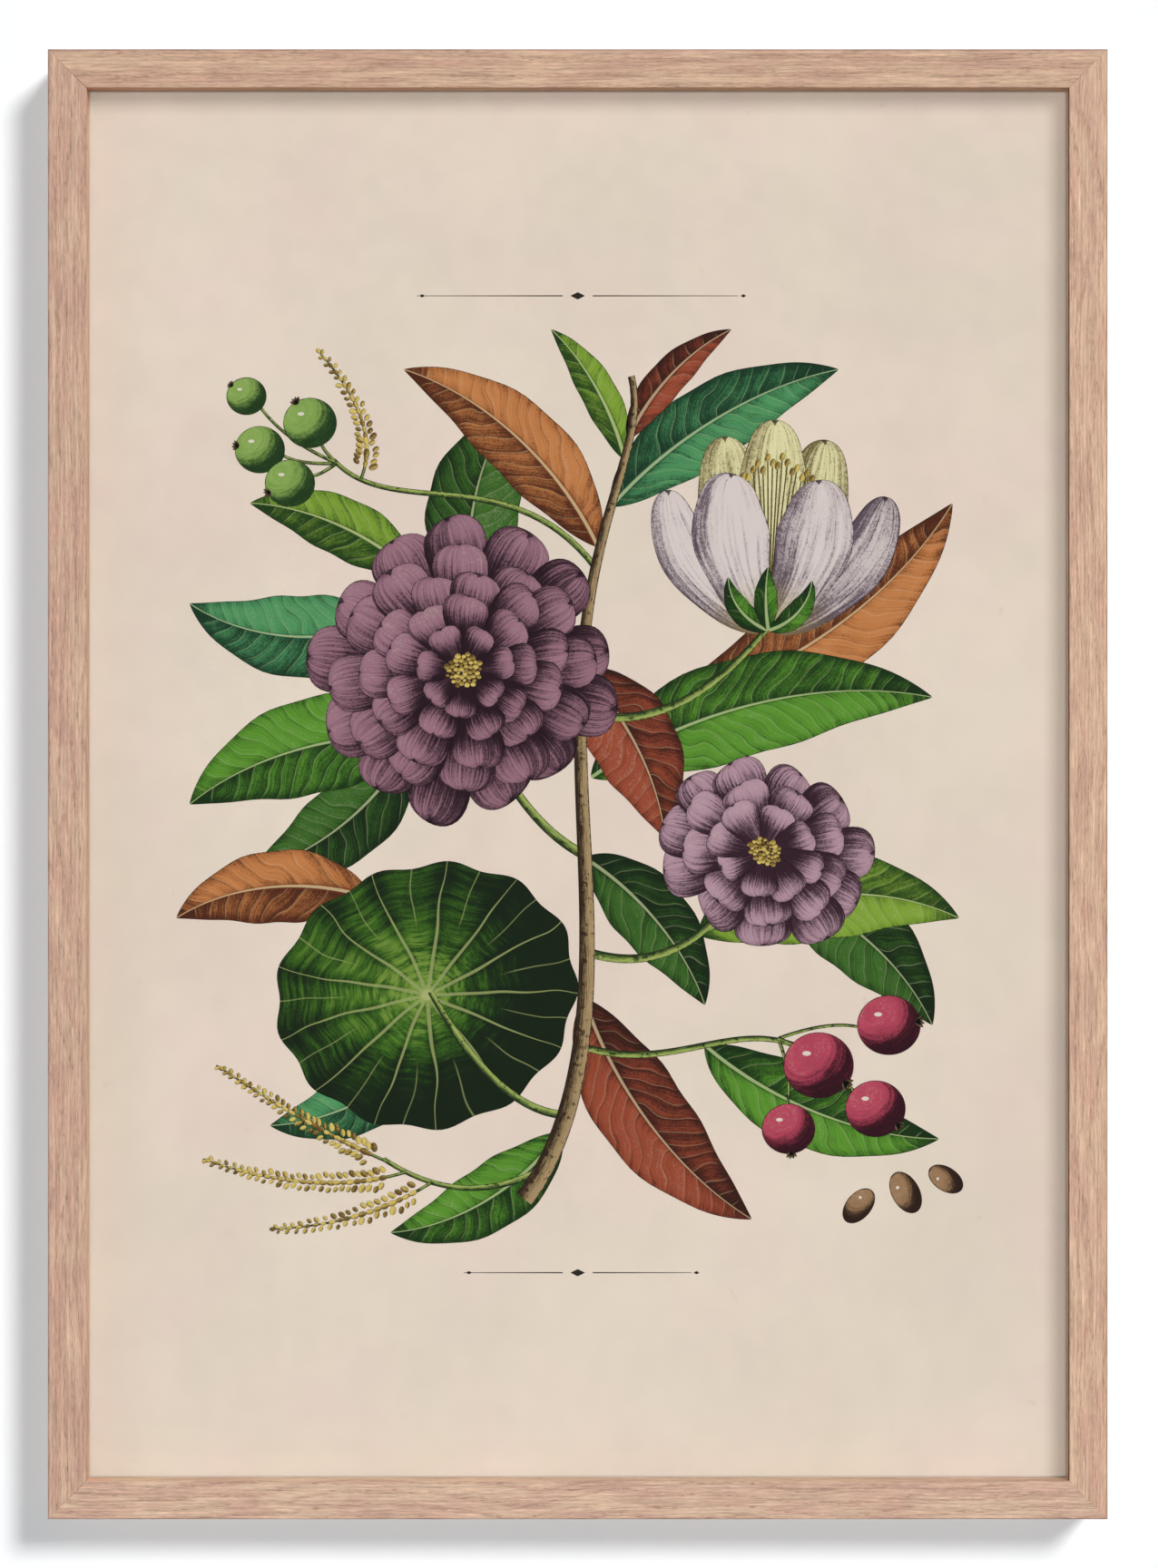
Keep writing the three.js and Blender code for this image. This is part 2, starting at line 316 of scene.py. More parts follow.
def nail_pocket(corner):
    """The pocket of a V nail, one slit for each of its legs, which meet at the end nearest the sheet."""
    low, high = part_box(f"v_nail_{corner}")
    legs = []
    for leg in (Vector((NAIL_THICKNESS, 0, high.z - low.z)), Vector((high.x - low.x, 0, NAIL_THICKNESS))):
        start = Vector((low.x if "right" in corner else high.x - leg.x, low.y, 0))
        start.z = low.z if "top" in corner else high.z - leg.z
        legs.append(grown(start, start + leg + Vector((0, high.y - low.y, 0)), past=MM))
    return legs


def round_cutter(middle, radius, depth, vertices=24):
    """A cutter about an axis along Y."""
    deselect_all()
    bpy.ops.mesh.primitive_cylinder_add(
        vertices=vertices, radius=radius, depth=depth, location=middle, rotation=(math.pi / 2, 0, 0)
    )
    return name_piece("cutter")


def pin_hole(node):
    """The hole of a hanger pin in the rail."""
    low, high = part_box(node)
    middle = (low + high) / 2 - Vector((0, SLACK / 2, 0))
    return round_cutter(middle, PIN_RADIUS + SLACK, high.y - low.y + SLACK, vertices=16)


def oak_rail(side):
    """One mitred length of moulding, with its rebate and a pocket for all that is driven into it."""
    along, outward, half_length, reach = SIDES[side]
    sight = reach - FACE
    length, width = (-half_length, half_length), (sight, reach)
    rail = box_in_place(f"oak_rail_{side}", along, outward, length, width, (FRONT_Y, BACK_Y))

    def reaches(point, distance):
        """Whether a point lies that far out from the middle of the frame."""
        return abs((point - Vector((0, 0, MIDDLE_Z))).dot(outward) - distance) < SAME

    edit(rail)
    for end in (-1, 1):
        bpy.ops.mesh.select_all(action="SELECT")
        bpy.ops.mesh.bisect(
            plane_co=in_place(along, outward, end * half_length, reach, 0),
            plane_no=(along * end - outward * (1 + MITRE_OPENS[side])).normalized(),
            use_fill=True,
            clear_outer=True,
        )

    arrises = [(FRONT_Y, reach, FRONT_ROUND), (FRONT_Y, sight, SIGHT_ROUND), (BACK_Y, reach, BACK_ROUND)]
    for y, out, radius in arrises:
        pick(rail, "EDGE", lambda point: abs(point.y - y) < SAME and reaches(point, out))
        bpy.ops.mesh.bevel(offset=radius, segments=5, affect="EDGES")
    done()

    rebate = length, (sight - MM, reach - BACK_WIDTH), (GLAZING_Y, BACK_Y + MM)
    cutters = [box_in_place("rebate", along, outward, *rebate)]
    for corner in CORNERS:
        if side in corner:
            cutters += nail_pocket(corner)
    cutters += [grown(*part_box(node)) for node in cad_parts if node.startswith(f"tab_{side}")]
    cutters += [pin_hole(node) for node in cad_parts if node.startswith("hanger_pin") and side == "top"]
    cut_away(rail, cutters)
    smooth(rail)
    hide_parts(f"rail_{side}")
    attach(rail, "root")
    return rail


rails = {side: oak_rail(side) for side in SIDES}


def maths(tree, operation, a, b=0.0):
    """One step of arithmetic on sockets or numbers."""
    return add(tree, "ShaderNodeMath", {0: a, 1: b}, operation=operation).outputs[0]


def total(tree, value, *others):
    """The sum of sockets and numbers."""
    for other in others:
        value = maths(tree, "ADD", value, other)
    return value


def product(tree, value, *others):
    """The product of sockets and numbers."""
    for other in others:
        value = maths(tree, "MULTIPLY", value, other)
    return value


def noise(tree, place, scale=1.0, detail=2.0, roughness=0.5):
    """Cloudy noise from 0 to 1."""
    inputs = {"Vector": place, "Scale": scale, "Detail": detail, "Roughness": roughness}
    return add(tree, "ShaderNodeTexNoise", inputs).outputs["Fac"]


def rise(tree, value, low, high, start=0.0, end=1.0):
    """Eases from start to end as a value goes from low to high."""
    inputs = {"Value": value, "From Min": low, "From Max": high, "To Min": start, "To Max": end}
    return add(tree, "ShaderNodeMapRange", inputs, interpolation_type="SMOOTHSTEP").outputs["Result"]


def blend(tree, amount, a, b, mode="MIX"):
    """Mixes two colours, each a socket or (red, green, blue)."""
    a, b = (x if isinstance(x, bpy.types.NodeSocket) else (*x, 1) for x in (a, b))
    settings = {"data_type": "RGBA", "blend_type": mode, "clamp_factor": True}
    return add(tree, "ShaderNodeMix", {0: amount, 6: a, 7: b}, **settings).outputs[2]


def vector(tree, x, y, z=0.0):
    """Three sockets or numbers as one place."""
    return add(tree, "ShaderNodeCombineXYZ", {0: x, 1: y, 2: z}).outputs[0]


def lightened(tree, colour, light):
    """A colour made lighter or darker by a factor."""
    return blend(tree, 1.0, colour, vector(tree, light, light, light), "MULTIPLY")


def new_group(name, inputs, outputs):
    """A shader node group with named sockets, as (tree, its inputs, its output node)."""
    tree = bpy.data.node_groups.new(name, "ShaderNodeTree")
    for way, sockets in (("INPUT", inputs), ("OUTPUT", outputs)):
        for socket, kind in sockets.items():
            tree.interface.new_socket(socket, in_out=way, socket_type="NodeSocket" + kind)
    return tree, tree.nodes.new("NodeGroupInput").outputs, tree.nodes.new("NodeGroupOutput")


def put_out(tree, out, values):
    """Links what a node group has worked out to its outputs."""
    for socket, value in values.items():
        tree.links.new(value, out.inputs[socket])


def use_group(tree, group, inputs):
    """Places a node group, and returns its outputs."""
    return add(tree, "ShaderNodeGroup", inputs, node_tree=group).outputs


def coat(tree, output, inputs, height, strength, deep):
    """Ends a material with its shader over a fine relief, as strong as given and so many mm deep."""
    bumps = {"Height": height, "Strength": strength, "Distance": deep * MM}
    relief = add(tree, "ShaderNodeBump", bumps).outputs[0]
    shader = add(tree, "ShaderNodeBsdfPrincipled", {**inputs, "Normal": relief})
    tree.links.new(shader.outputs[0], output.inputs["Surface"])


RING_WIDTH = 3.4  # in mm, as are all the measures in the grain
PITH_INWARD, PITH_BELOW = 10.0, 16.0
BOARD_STEP = 613.0  # along the wood, from one board to the next


def oak_grain():
    """Oak as sawn: growth rings cut at a slant, open pores in the early wood, straight fibres, rays and soft
    patches. Takes millimetres along the board, in from its outer face and down from its front, and a number
    for the board."""
    tree, given, out = new_group(
        "oak_grain",
        {"Along": "Float", "Inward": "Float", "Depth": "Float", "Board": "Float"},
        {"Colour": "Color", "Roughness": "Float", "Height": "Float"},
    )
    along = total(tree, given["Along"], product(tree, given["Board"], BOARD_STEP))
    inward, depth = given["Inward"], given["Depth"]

    def wander(length, amount, seed):
        """A slow drift from side to side along the board."""
        place = vector(tree, maths(tree, "DIVIDE", along, length), product(tree, inward, 0.03), seed)
        return product(tree, maths(tree, "SUBTRACT", noise(tree, place, 1.0, 2.0), 0.5), amount)

    across = total(tree, inward, wander(110.0, 3.0, 0.0), wander(19.0, 0.45, 9.0))

    # Rings about a pith that lies below the board. They run askew to it, so the saw cuts them at a slant.
    from_pith = total(tree, inward, product(tree, along, 0.02), PITH_INWARD, wander(70.0, 22.0, 23.0))
    below = total(tree, depth, PITH_BELOW)
    squares = total(tree, maths(tree, "POWER", from_pith, 2.0), maths(tree, "POWER", below, 2.0))
    ring = maths(tree, "FRACT", maths(tree, "DIVIDE", maths(tree, "SQRT", squares), RING_WIDTH))
    early = rise(tree, ring, 0.04, 0.55, 1.0, 0.0)

    def streaks(length, width, detail, seed):
        """Noise drawn out along the grain, to marks of about a length and a width."""
        place = vector(
            tree,
            maths(tree, "DIVIDE", along, length),
            maths(tree, "DIVIDE", across, width),
            total(tree, maths(tree, "DIVIDE", depth, width), seed),
        )
        return noise(tree, place, 1.0, detail)

    pores = rise(tree, streaks(2.6, 0.29, 1.0, 0.0), 0.55, 0.67)
    pores = product(tree, pores, rise(tree, early, 0.0, 1.0, 0.3, 1.0))
    fibres = maths(tree, "SUBTRACT", streaks(5.0, 0.22, 2.0, 17.0), 0.5)
    bands = maths(tree, "SUBTRACT", streaks(22.0, 1.2, 2.0, 31.0), 0.5)
    rays = rise(tree, streaks(2.4, 0.4, 0.0, 53.0), 0.64, 0.76)
    patches = rise(tree, streaks(22.0, 6.0, 3.0, 71.0), 0.38, 0.62)
    lean = product(tree, streaks(24.0, 4.0, 1.0, 87.0), 0.9)
    rows = product(tree, total(tree, maths(tree, "DIVIDE", across, 1.08), lean), math.tau)
    bold = rise(tree, streaks(11.0, 2.4, 1.0, 97.0), 0.3, 0.6)
    rows = product(tree, maths(tree, "SINE", rows), bold)

    wood = blend(tree, patches, (0.603, 0.407, 0.302), (0.548, 0.338, 0.262))
    wood = blend(tree, product(tree, early, 0.30), wood, (0.43, 0.250, 0.180))
    wood = blend(tree, product(tree, rays, 0.35), wood, (0.70, 0.500, 0.390))
    wood = blend(tree, product(tree, pores, 0.60), wood, (0.27, 0.150, 0.108))
    light = [product(tree, part, share) for part, share in ((fibres, 1.15), (bands, 0.8), (rows, 0.095))]
    wood = lightened(tree, wood, total(tree, *light, 1.03))

    roughness = total(tree, product(tree, pores, 0.2), 0.55)
    height = maths(tree, "SUBTRACT", product(tree, fibres, 0.3), pores)
    put_out(tree, out, {"Colour": wood, "Roughness": roughness, "Height": height})
    return tree


OAK_GRAIN = oak_grain()
# Each board's own tint; the painted light and shade on its sight edge, next to the arris and further in,
# painted lighter on the left, bottom and right rails, with a painted dark line at the right rail's arris;
# and how far its outer arris is darkened, as a share.
BOARDS = {
    "top": ((0.960, 0.945, 0.868), (1.12, 0.97, 0.84), (1.12, 0.97, 0.84), 1.0),
    "right": ((1.030, 1.010, 0.940), (0.42, 0.31, 0.23), (1.60, 1.70, 1.75), 0.6),
    "bottom": ((1.015, 1.035, 0.990), (1.70, 1.76, 1.72), (1.70, 1.76, 1.78), 0.4),
    "left": ((0.945, 0.930, 0.890), (1.74, 1.70, 1.54), (1.74, 1.74, 1.58), 0.4),
}


def oak(side, board):
    """Limed oak for one rail, with the grain along it, painted light and shade on its sight edge, and a
    darker outer arris.
    """
    along, outward, half_length, reach = SIDES[side]
    made, tree, output = empty_material(f"limed_oak_{side}")
    place = add(tree, "ShaderNodeTexCoord").outputs["Object"]

    def millimetres(direction, start):
        """How far a place lies in a direction, in millimetres."""
        measured = add(tree, "ShaderNodeVectorMath", {0: place, 1: direction / MM}, operation="DOT_PRODUCT")
        return total(tree, measured.outputs["Value"], start / MM)

    middle = Vector((0, 0, MIDDLE_Z))
    inward = millimetres(-outward, reach + middle.dot(outward))
    depth = millimetres(Vector((0, 1, 0)), -FRONT_Y)
    where = {"Along": millimetres(along, 0), "Inward": inward, "Depth": depth, "Board": board}
    grain = use_group(tree, OAK_GRAIN, where)
    shade, sight_arris_lighting, sight_edge_lighting, arris_darkening = BOARDS[side]
    wood = blend(tree, 1.0, grain["Colour"], shade, "MULTIPLY")
    # The sight edge takes painted light and shade: one tint next to the arris and another further in.
    face = FACE / MM
    past_face = rise(tree, inward, face - 0.3, face - 0.06)
    on_sight_edge = product(tree, past_face, rise(tree, depth, 0.05, 0.3))
    sawn = blend(tree, rise(tree, depth, 2.5, 5.0), sight_arris_lighting, sight_edge_lighting)
    wood = blend(tree, on_sight_edge, wood, blend(tree, 1.0, wood, sawn, "MULTIPLY"))
    # A darker mauve line along the outer arris, by the board's share.
    near_arris = rise(tree, inward, 0.15, 0.60, arris_darkening, 0.0)
    near_arris = product(tree, near_arris, rise(tree, depth, 0.3, 0.8, 1.0, 0.0))
    wood = blend(tree, near_arris, wood, blend(tree, 1.0, wood, (0.58, 0.54, 0.64), "MULTIPLY"))

    inputs = {"Base Color": wood, "Roughness": grain["Roughness"], "Specular IOR Level": 0.35}
    coat(tree, output, inputs, grain["Height"], strength=0.5, deep=0.06)
    return made


for board, side in enumerate(rails):
    rails[side].data.materials.clear()
    rails[side].data.materials.append(oak(side, float(board)))

# ---- printed sheet ----
# Heavy matt paper, cut to A3, toned a warm cream with age and softly mottled, with painted shade along its
# left edge. It lies on the backing.


def repaint(node, material):
    """Gives a piece that stays as it is a finished material."""
    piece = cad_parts[node]
    piece.data.materials.clear()
    piece.data.materials.append(material)


def place_in_mm(tree):
    """A place on a piece, in millimetres."""
    place = add(tree, "ShaderNodeTexCoord").outputs["Object"]
    return add(tree, "ShaderNodeMapping", {"Vector": place, "Scale": (1 / MM, 1 / MM, 1 / MM)}).outputs[0]


def paper_fibre(tree, place):
    """The fine fibre of the sheet, which shows through the inks too."""
    return noise(tree, place, 1 / 0.45, 3.0, 0.7)


def aged_paper():
    """Cream paper, softly mottled, with painted shade along its left edge and a few pale brown flecks."""
    made, tree, output = empty_material("aged_paper")
    place = place_in_mm(tree)
    hue = rise(tree, noise(tree, place, 1 / 38, 2.0, 0.5), 0.34, 0.66)
    sheet = blend(tree, hue, (0.814, 0.683, 0.563), (0.829, 0.671, 0.570))
    fibre = paper_fibre(tree, place)
    clouds = rise(tree, noise(tree, place, 1 / 55, 3.0, 0.55), 0.3, 0.7, 0.965, 1.03)
    mottling = rise(tree, noise(tree, place, 1 / 7, 2.0), 0.3, 0.7, -0.012, 0.012)
    light = total(tree, clouds, product(tree, fibre, 0.03), mottling)
    # Painted shade: the sheet darkens towards its left edge, next to the rail.
    x = add(tree, "ShaderNodeSeparateXYZ", {"Vector": place}).outputs["X"]
    sheet = lightened(tree, sheet, product(tree, light, rise(tree, x, -144, -122, 0.93, 1.0)))
    fleck = rise(tree, noise(tree, place, 1 / 5.0, 2.0, 0.6), 0.70, 0.78)
    sheet = blend(tree, product(tree, fleck, 0.12), sheet, (0.45, 0.32, 0.2))
    inputs = {"Base Color": sheet, "Roughness": 0.88, "Specular IOR Level": 0.25}
    coat(tree, output, inputs, fibre, strength=0.25, deep=0.03)
    return made


repaint("print", aged_paper())

# ---- printed plate: its stems ----
# The plate is printed from stone and tinted by hand, one flat film of ink and wash over another. Its stems
# come first: a woody main stem, cut off at its foot, and the green stalks that branch from it.

PRINT_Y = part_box("print")[0].y
INK_LAYER = 0.011 * MM  # from one film to the one over it
INK_GREEN = (0.006, 0.010, 0.004)
INK_BROWN = (0.016, 0.007, 0.004)
INK_PLUM = (0.010, 0.003, 0.006)


def lithograph():
    """A crayon drawing on stone under a wash. A wash runs from Light to Dark as Shade rises, crayon grain
    gathers where it is dark, and a broken line of Ink follows the margin, to a given Margin in mm."""
    tree, given, out = new_group(
        "lithograph",
        {
            "Light": "Color",
            "Dark": "Color",
            "Ink": "Color",
            "Shade": "Float",
            "Margin": "Float",
            "Line": "Float",
            "Place": "Vector",
        },
        {"Colour": "Color"},
    )
    place = given["Place"]
    grain = noise(tree, place, 1 / 0.42, 2.0, 0.6)
    coarse = noise(tree, place, 1 / 1.1, 2.0, 0.5)
    pool = noise(tree, place, 1 / 9.0, 2.0, 0.5)
    crayon = total(tree, product(tree, grain, 0.7), product(tree, coarse, 0.3))
    shade = total(tree, given["Shade"], rise(tree, pool, 0.3, 0.7, -0.07, 0.07))
    wash = blend(tree, rise(tree, shade, 0.0, 1.0), given["Light"], given["Dark"])
    bite = rise(tree, total(tree, crayon, product(tree, shade, 0.36)), 0.60, 0.82)
    wash = blend(tree, product(tree, bite, 0.62), wash, given["Ink"])
    pale = rise(tree, maths(tree, "SUBTRACT", crayon, product(tree, shade, 0.34)), 0.48, 0.70)
    wash = blend(tree, product(tree, pale, 0.22), wash, (0.72, 0.60, 0.48))
    width = product(tree, given["Line"], rise(tree, coarse, 0.3, 0.7, 0.55, 1.45))
    edge = rise(tree, maths(tree, "DIVIDE", given["Margin"], width), 0.55, 1.0, 1.0, 0.0)
    edge = product(tree, edge, rise(tree, grain, 0.3, 0.6, 0.7, 0.95))
    put_out(tree, out, {"Colour": blend(tree, edge, wash, given["Ink"])})
    return tree


LITHOGRAPH = lithograph()


def ink_surface(name, light, dark, ink, line, shading):
    """The ink of a film. The shading takes the tree, the film's own coordinates and its light and dark
    washes, and returns its shade, both washes, and highlights, each a mask and a colour."""
    made, tree, output = empty_material(name)
    place = place_in_mm(tree)
    share = add(tree, "ShaderNodeSeparateXYZ", {0: add(tree, "ShaderNodeUVMap", uv_map="share").outputs[0]})
    reach = add(tree, "ShaderNodeSeparateXYZ", {0: add(tree, "ShaderNodeUVMap", uv_map="reach").outputs[0]})
    at = {
        "place": place,
        "u": share.outputs[0],
        "v": share.outputs[1],
        "s": reach.outputs[0],
        "t": reach.outputs[1],
        "tone": add(tree, "ShaderNodeAttribute", attribute_name="tone").outputs["Fac"],
        "margin": add(tree, "ShaderNodeAttribute", attribute_name="margin").outputs["Fac"],
    }
    shade, light, dark, glints = shading(tree, at, light, dark)
    inputs = {"Shade": shade, "Margin": at["margin"], "Line": line, "Place": place, "Ink": (*ink, 1)}
    for socket, value in (("Light", light), ("Dark", dark)):
        inputs[socket] = value if isinstance(value, bpy.types.NodeSocket) else (*value, 1)
    drawn = use_group(tree, LITHOGRAPH, inputs)["Colour"]
    for mask, colour in glints:
        drawn = blend(tree, mask, drawn, colour)
    inputs = {"Base Color": drawn, "Roughness": 0.85, "Specular IOR Level": 0.06}
    coat(tree, output, inputs, paper_fibre(tree, place), strength=0.25, deep=0.03)
    return made


def bezier(points, u):
    """A point and its direction on a smooth curve drawn by a few control points."""
    ahead = [Vector(point) for point in points]
    before = ahead
    while len(ahead) > 1:
        before = ahead
        ahead = [a.lerp(b, u) for a, b in zip(ahead, ahead[1:])]
    return ahead[0], (before[1] - before[0]).normalized()


def curve_length(points, steps=24):
    """The length of such a curve."""
    places = [bezier(points, i / steps)[0] for i in range(steps + 1)]
    return sum((b - a).length for a, b in zip(places, places[1:]))


def ink_layers(mesh):
    """Gives a film its empty maps, share and reach, and returns its new attributes, margin and tone."""
    for layer in list(mesh.uv_layers):
        mesh.uv_layers.remove(layer)
    for name in ("share", "reach"):
        mesh.uv_layers.new(name=name)
    margin = mesh.attributes.new("margin", "FLOAT", "POINT")
    tones = mesh.attributes.new("tone", "FLOAT", "POINT")
    return margin, tones


def film(
    name, points, outline, half_width, level, rows=22, columns=6, tone=0.5, tuck=0.0, notch=0.0, ends=0
):
    """A flat film of ink along a curve, in millimetres from the middle of the sheet. The outline gives its
    width along it, as a share of the half width. It tucks under its neighbour by a share of a layer, and its
    tip can have a notch. Its rows crowd towards its tip, with ends at 1, or towards both ends, with 2."""
    deselect_all()
    bpy.ops.mesh.primitive_grid_add(x_subdivisions=rows, y_subdivisions=columns, size=1)
    made = bpy.context.object
    made.name = name
    mesh = made.data
    mesh.name = name
    margin, tones = ink_layers(mesh)
    length = curve_length(points)
    reach = []
    for vertex in mesh.vertices:
        u = math.sin((vertex.co.x + 0.5) * math.pi / 2) if ends == 1 else vertex.co.x + 0.5
        u = (1 - math.cos(u * math.pi)) / 2 if ends == 2 else u
        v = vertex.co.y * 2
        spot, way = bezier(points, u)
        half = half_width * outline(u)
        t = v * half
        s = -notch * length * u**8 * (1 - abs(v)) ** 2
        x = spot.x + way.x * s - way.y * t
        z = spot.y + way.y * s + way.x * t
        y = PRINT_Y - (level + 1 + tuck * v) * INK_LAYER
        to_tip = length * (1 - u) + 0.02 if ends == 1 else half
        margin.data[vertex.index].value = min(half * (1 - abs(v)), to_tip)
        tones.data[vertex.index].value = tone
        vertex.co = Vector((x * MM, y, MIDDLE_Z + z * MM))
        reach.append((u, (v + 1) / 2, u * length, t))
    for loop in mesh.loops:
        u, v, s, t = reach[loop.vertex_index]
        mesh.uv_layers["share"].data[loop.index].uv = (u, v)
        mesh.uv_layers["reach"].data[loop.index].uv = (s, t)
    return made


def joined(name, parts):
    """Several films as one."""
    select_only(*parts)
    bpy.ops.object.join()
    parts[0].name = name
    parts[0].data.name = name
    return parts[0]


def print_on(made, material):
    """Gives a film its ink and fixes it to the sheet."""
    made.data.materials.clear()
    made.data.materials.append(material)
    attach(made, "root")
    return made


def stalk_shading(tree, at, light, dark):
    """Round, lit from the left, with scars and lines along it."""
    lines = vector(tree, maths(tree, "DIVIDE", at["s"], 6.0), maths(tree, "DIVIDE", at["t"], 0.35))
    streak = noise(tree, lines, 1.0, 2.0, 0.6)
    scars = rise(tree, noise(tree, at["place"], 1 / 1.8, 1.0), 0.60, 0.68, 0.0, 0.35)
    roundness = rise(tree, at["v"], 0.15, 1.0, 0.05, 0.95)
    shade = total(tree, roundness, rise(tree, streak, 0.3, 0.7, -0.2, 0.25), scars)
    return shade, light, dark, []


def tapered(thin):
    """An outline that narrows evenly to a share of its width."""
    return lambda u: 1 + (thin - 1) * u


bark = ink_surface("bark_ink", (0.40, 0.27, 0.13), (0.050, 0.026, 0.012), INK_BROWN, 0.34, stalk_shading)
green_stalk = ink_surface(
    "stalk_ink", (0.34, 0.42, 0.10), (0.035, 0.075, 0.016), INK_GREEN, 0.26, stalk_shading
)

# The points that steer the stem's curve, from its cut foot up, in millimetres from the middle of the sheet.
STEM = [(-16, -124), (6, -96), (14, -40), (-6, 10), (-14, 60), (24, 92), (16, 122)]
print_on(film("main_stem", STEM, tapered(0.36), 2.9, level=7, rows=60), bark)

# Each stalk's place on the stem, as a share of it, the points it then passes, and its half width.
STALKS = {
    "stalk_to_large_bloom": (0.40, [(-20, -10), (-34, 30)], 1.5),
    "stalk_to_side_bloom": (0.30, [(34, -60), (54, -22)], 1.4),
    "stalk_to_cup": (0.55, [(30, 14), (56, 46)], 1.4),
    "stalk_to_hips": (0.20, [(30, -88), (50, -66), (72, -82)], 1.1),
    "stalk_to_green_berries": (0.72, [(-20, 98), (-56, 78), (-73, 97)], 1.0),
    "stalk_to_round_leaf": (0.12, [(-24, -98), (-44, -62)], 1.3),
    "stalk_to_spikes": (0.05, [(-34, -128), (-58, -112)], 1.0),
}
stalk_curves = {}
for name, (share, points, half_width) in STALKS.items():
    stalk_curves[name] = [bezier(STEM, share)[0], *points]
    stalk = film(name, stalk_curves[name], tapered(0.7), half_width, level=6, rows=30, columns=4)
    print_on(stalk, green_stalk)

# ---- printed plate: its leaves ----
# Long pointed leaves, each with a lighter and a darker half, a pale midrib and side veins that sweep to
# the tip. The young ones are green or blue-green, the old ones russet.

LEAF_VEINS = 5.6  # mm from one side vein to the next


def leaf_outline(u):
    """Widest below the middle and pointed at both ends, with a slightly wavy margin."""
    return math.sin(math.pi * u**0.86) ** 0.85 * (1 + 0.03 * math.sin(u * 23)) if 0 < u < 1 else 0.0


def leaf_shading(tree, at, light, dark):
    """One half darker than the other, with hatching between its side veins and a pale midrib."""
    across = maths(tree, "ABSOLUTE", at["t"])
    half = rise(tree, at["v"], 0.49, 0.51)
    sweep = maths(tree, "SUBTRACT", at["s"], product(tree, maths(tree, "POWER", across, 1.12), 0.72))
    waver = rise(tree, noise(tree, at["place"], 1 / 14.0, 1.0), 0.2, 0.8, -3.0, 3.0)
    sweep = total(tree, sweep, product(tree, half, LEAF_VEINS * 0.4), waver)
    step = maths(tree, "FRACT", maths(tree, "DIVIDE", sweep, LEAF_VEINS))
    off_vein = maths(tree, "MINIMUM", step, maths(tree, "SUBTRACT", 1.0, step))
    off_vein = product(tree, off_vein, LEAF_VEINS)
    fine = vector(tree, maths(tree, "DIVIDE", sweep, 0.42), maths(tree, "DIVIDE", across, 9.0), at["tone"])
    hatch = noise(tree, fine, 1.0, 2.0, 0.6)
    shade = total(
        tree,
        product(tree, half, 0.44),
        rise(tree, step, 0.0, 1.0, 0.22, 0.0),
        rise(tree, hatch, 0.3, 0.7, -0.12, 0.16),
        rise(tree, at["margin"], 0.0, 3.5, 0.24, 0.0),
        rise(tree, across, 0.2, 3.2, 0.20, 0.0),
        rise(tree, at["u"], 0.0, 0.35, 0.25, 0.0),
        rise(tree, at["u"], 0.75, 1.0, 0.0, 0.2),
        product(tree, maths(tree, "SUBTRACT", at["tone"], 0.5), 0.5),
    )
    vein = product(
        tree,
        rise(tree, off_vein, 0.05, 0.24, 0.34, 0.0),
        rise(tree, at["margin"], 0.2, 2.5),
        rise(tree, at["u"], 0.9, 1.0, 1.0, 0.0),
    )
    rib_widths = maths(tree, "DIVIDE", across, rise(tree, at["u"], 0.0, 1.0, 0.62, 0.16))
    rib = rise(tree, rib_widths, 0.6, 1.0, 0.9, 0.0)
    beside = maths(tree, "ABSOLUTE", maths(tree, "SUBTRACT", rib_widths, 1.4))
    beside = rise(tree, beside, 0.2, 0.7, 0.55, 0.0)
    pale = blend(tree, 0.55, light, (0.62, 0.60, 0.36))
    return shade, light, dark, [(vein, pale), (beside, dark), (rib, pale)]


LEAF_INKS = {
    "green": ((0.110, 0.300, 0.026), (0.008, 0.050, 0.006), INK_GREEN),
    "yellow_green": ((0.230, 0.370, 0.036), (0.022, 0.090, 0.010), INK_GREEN),
    "blue_green": ((0.085, 0.310, 0.115), (0.010, 0.075, 0.032), INK_GREEN),
    "deep_green": ((0.048, 0.140, 0.018), (0.004, 0.024, 0.004), INK_GREEN),
    "russet": ((0.580, 0.215, 0.066), (0.170, 0.036, 0.012), INK_BROWN),
    "red_brown": ((0.340, 0.068, 0.030), (0.060, 0.010, 0.007), INK_BROWN),
}
leaf_inks = {}
for name, inks in LEAF_INKS.items():
    leaf_inks[name] = ink_surface(f"{name}_leaf_ink", *inks, 0.26, leaf_shading)

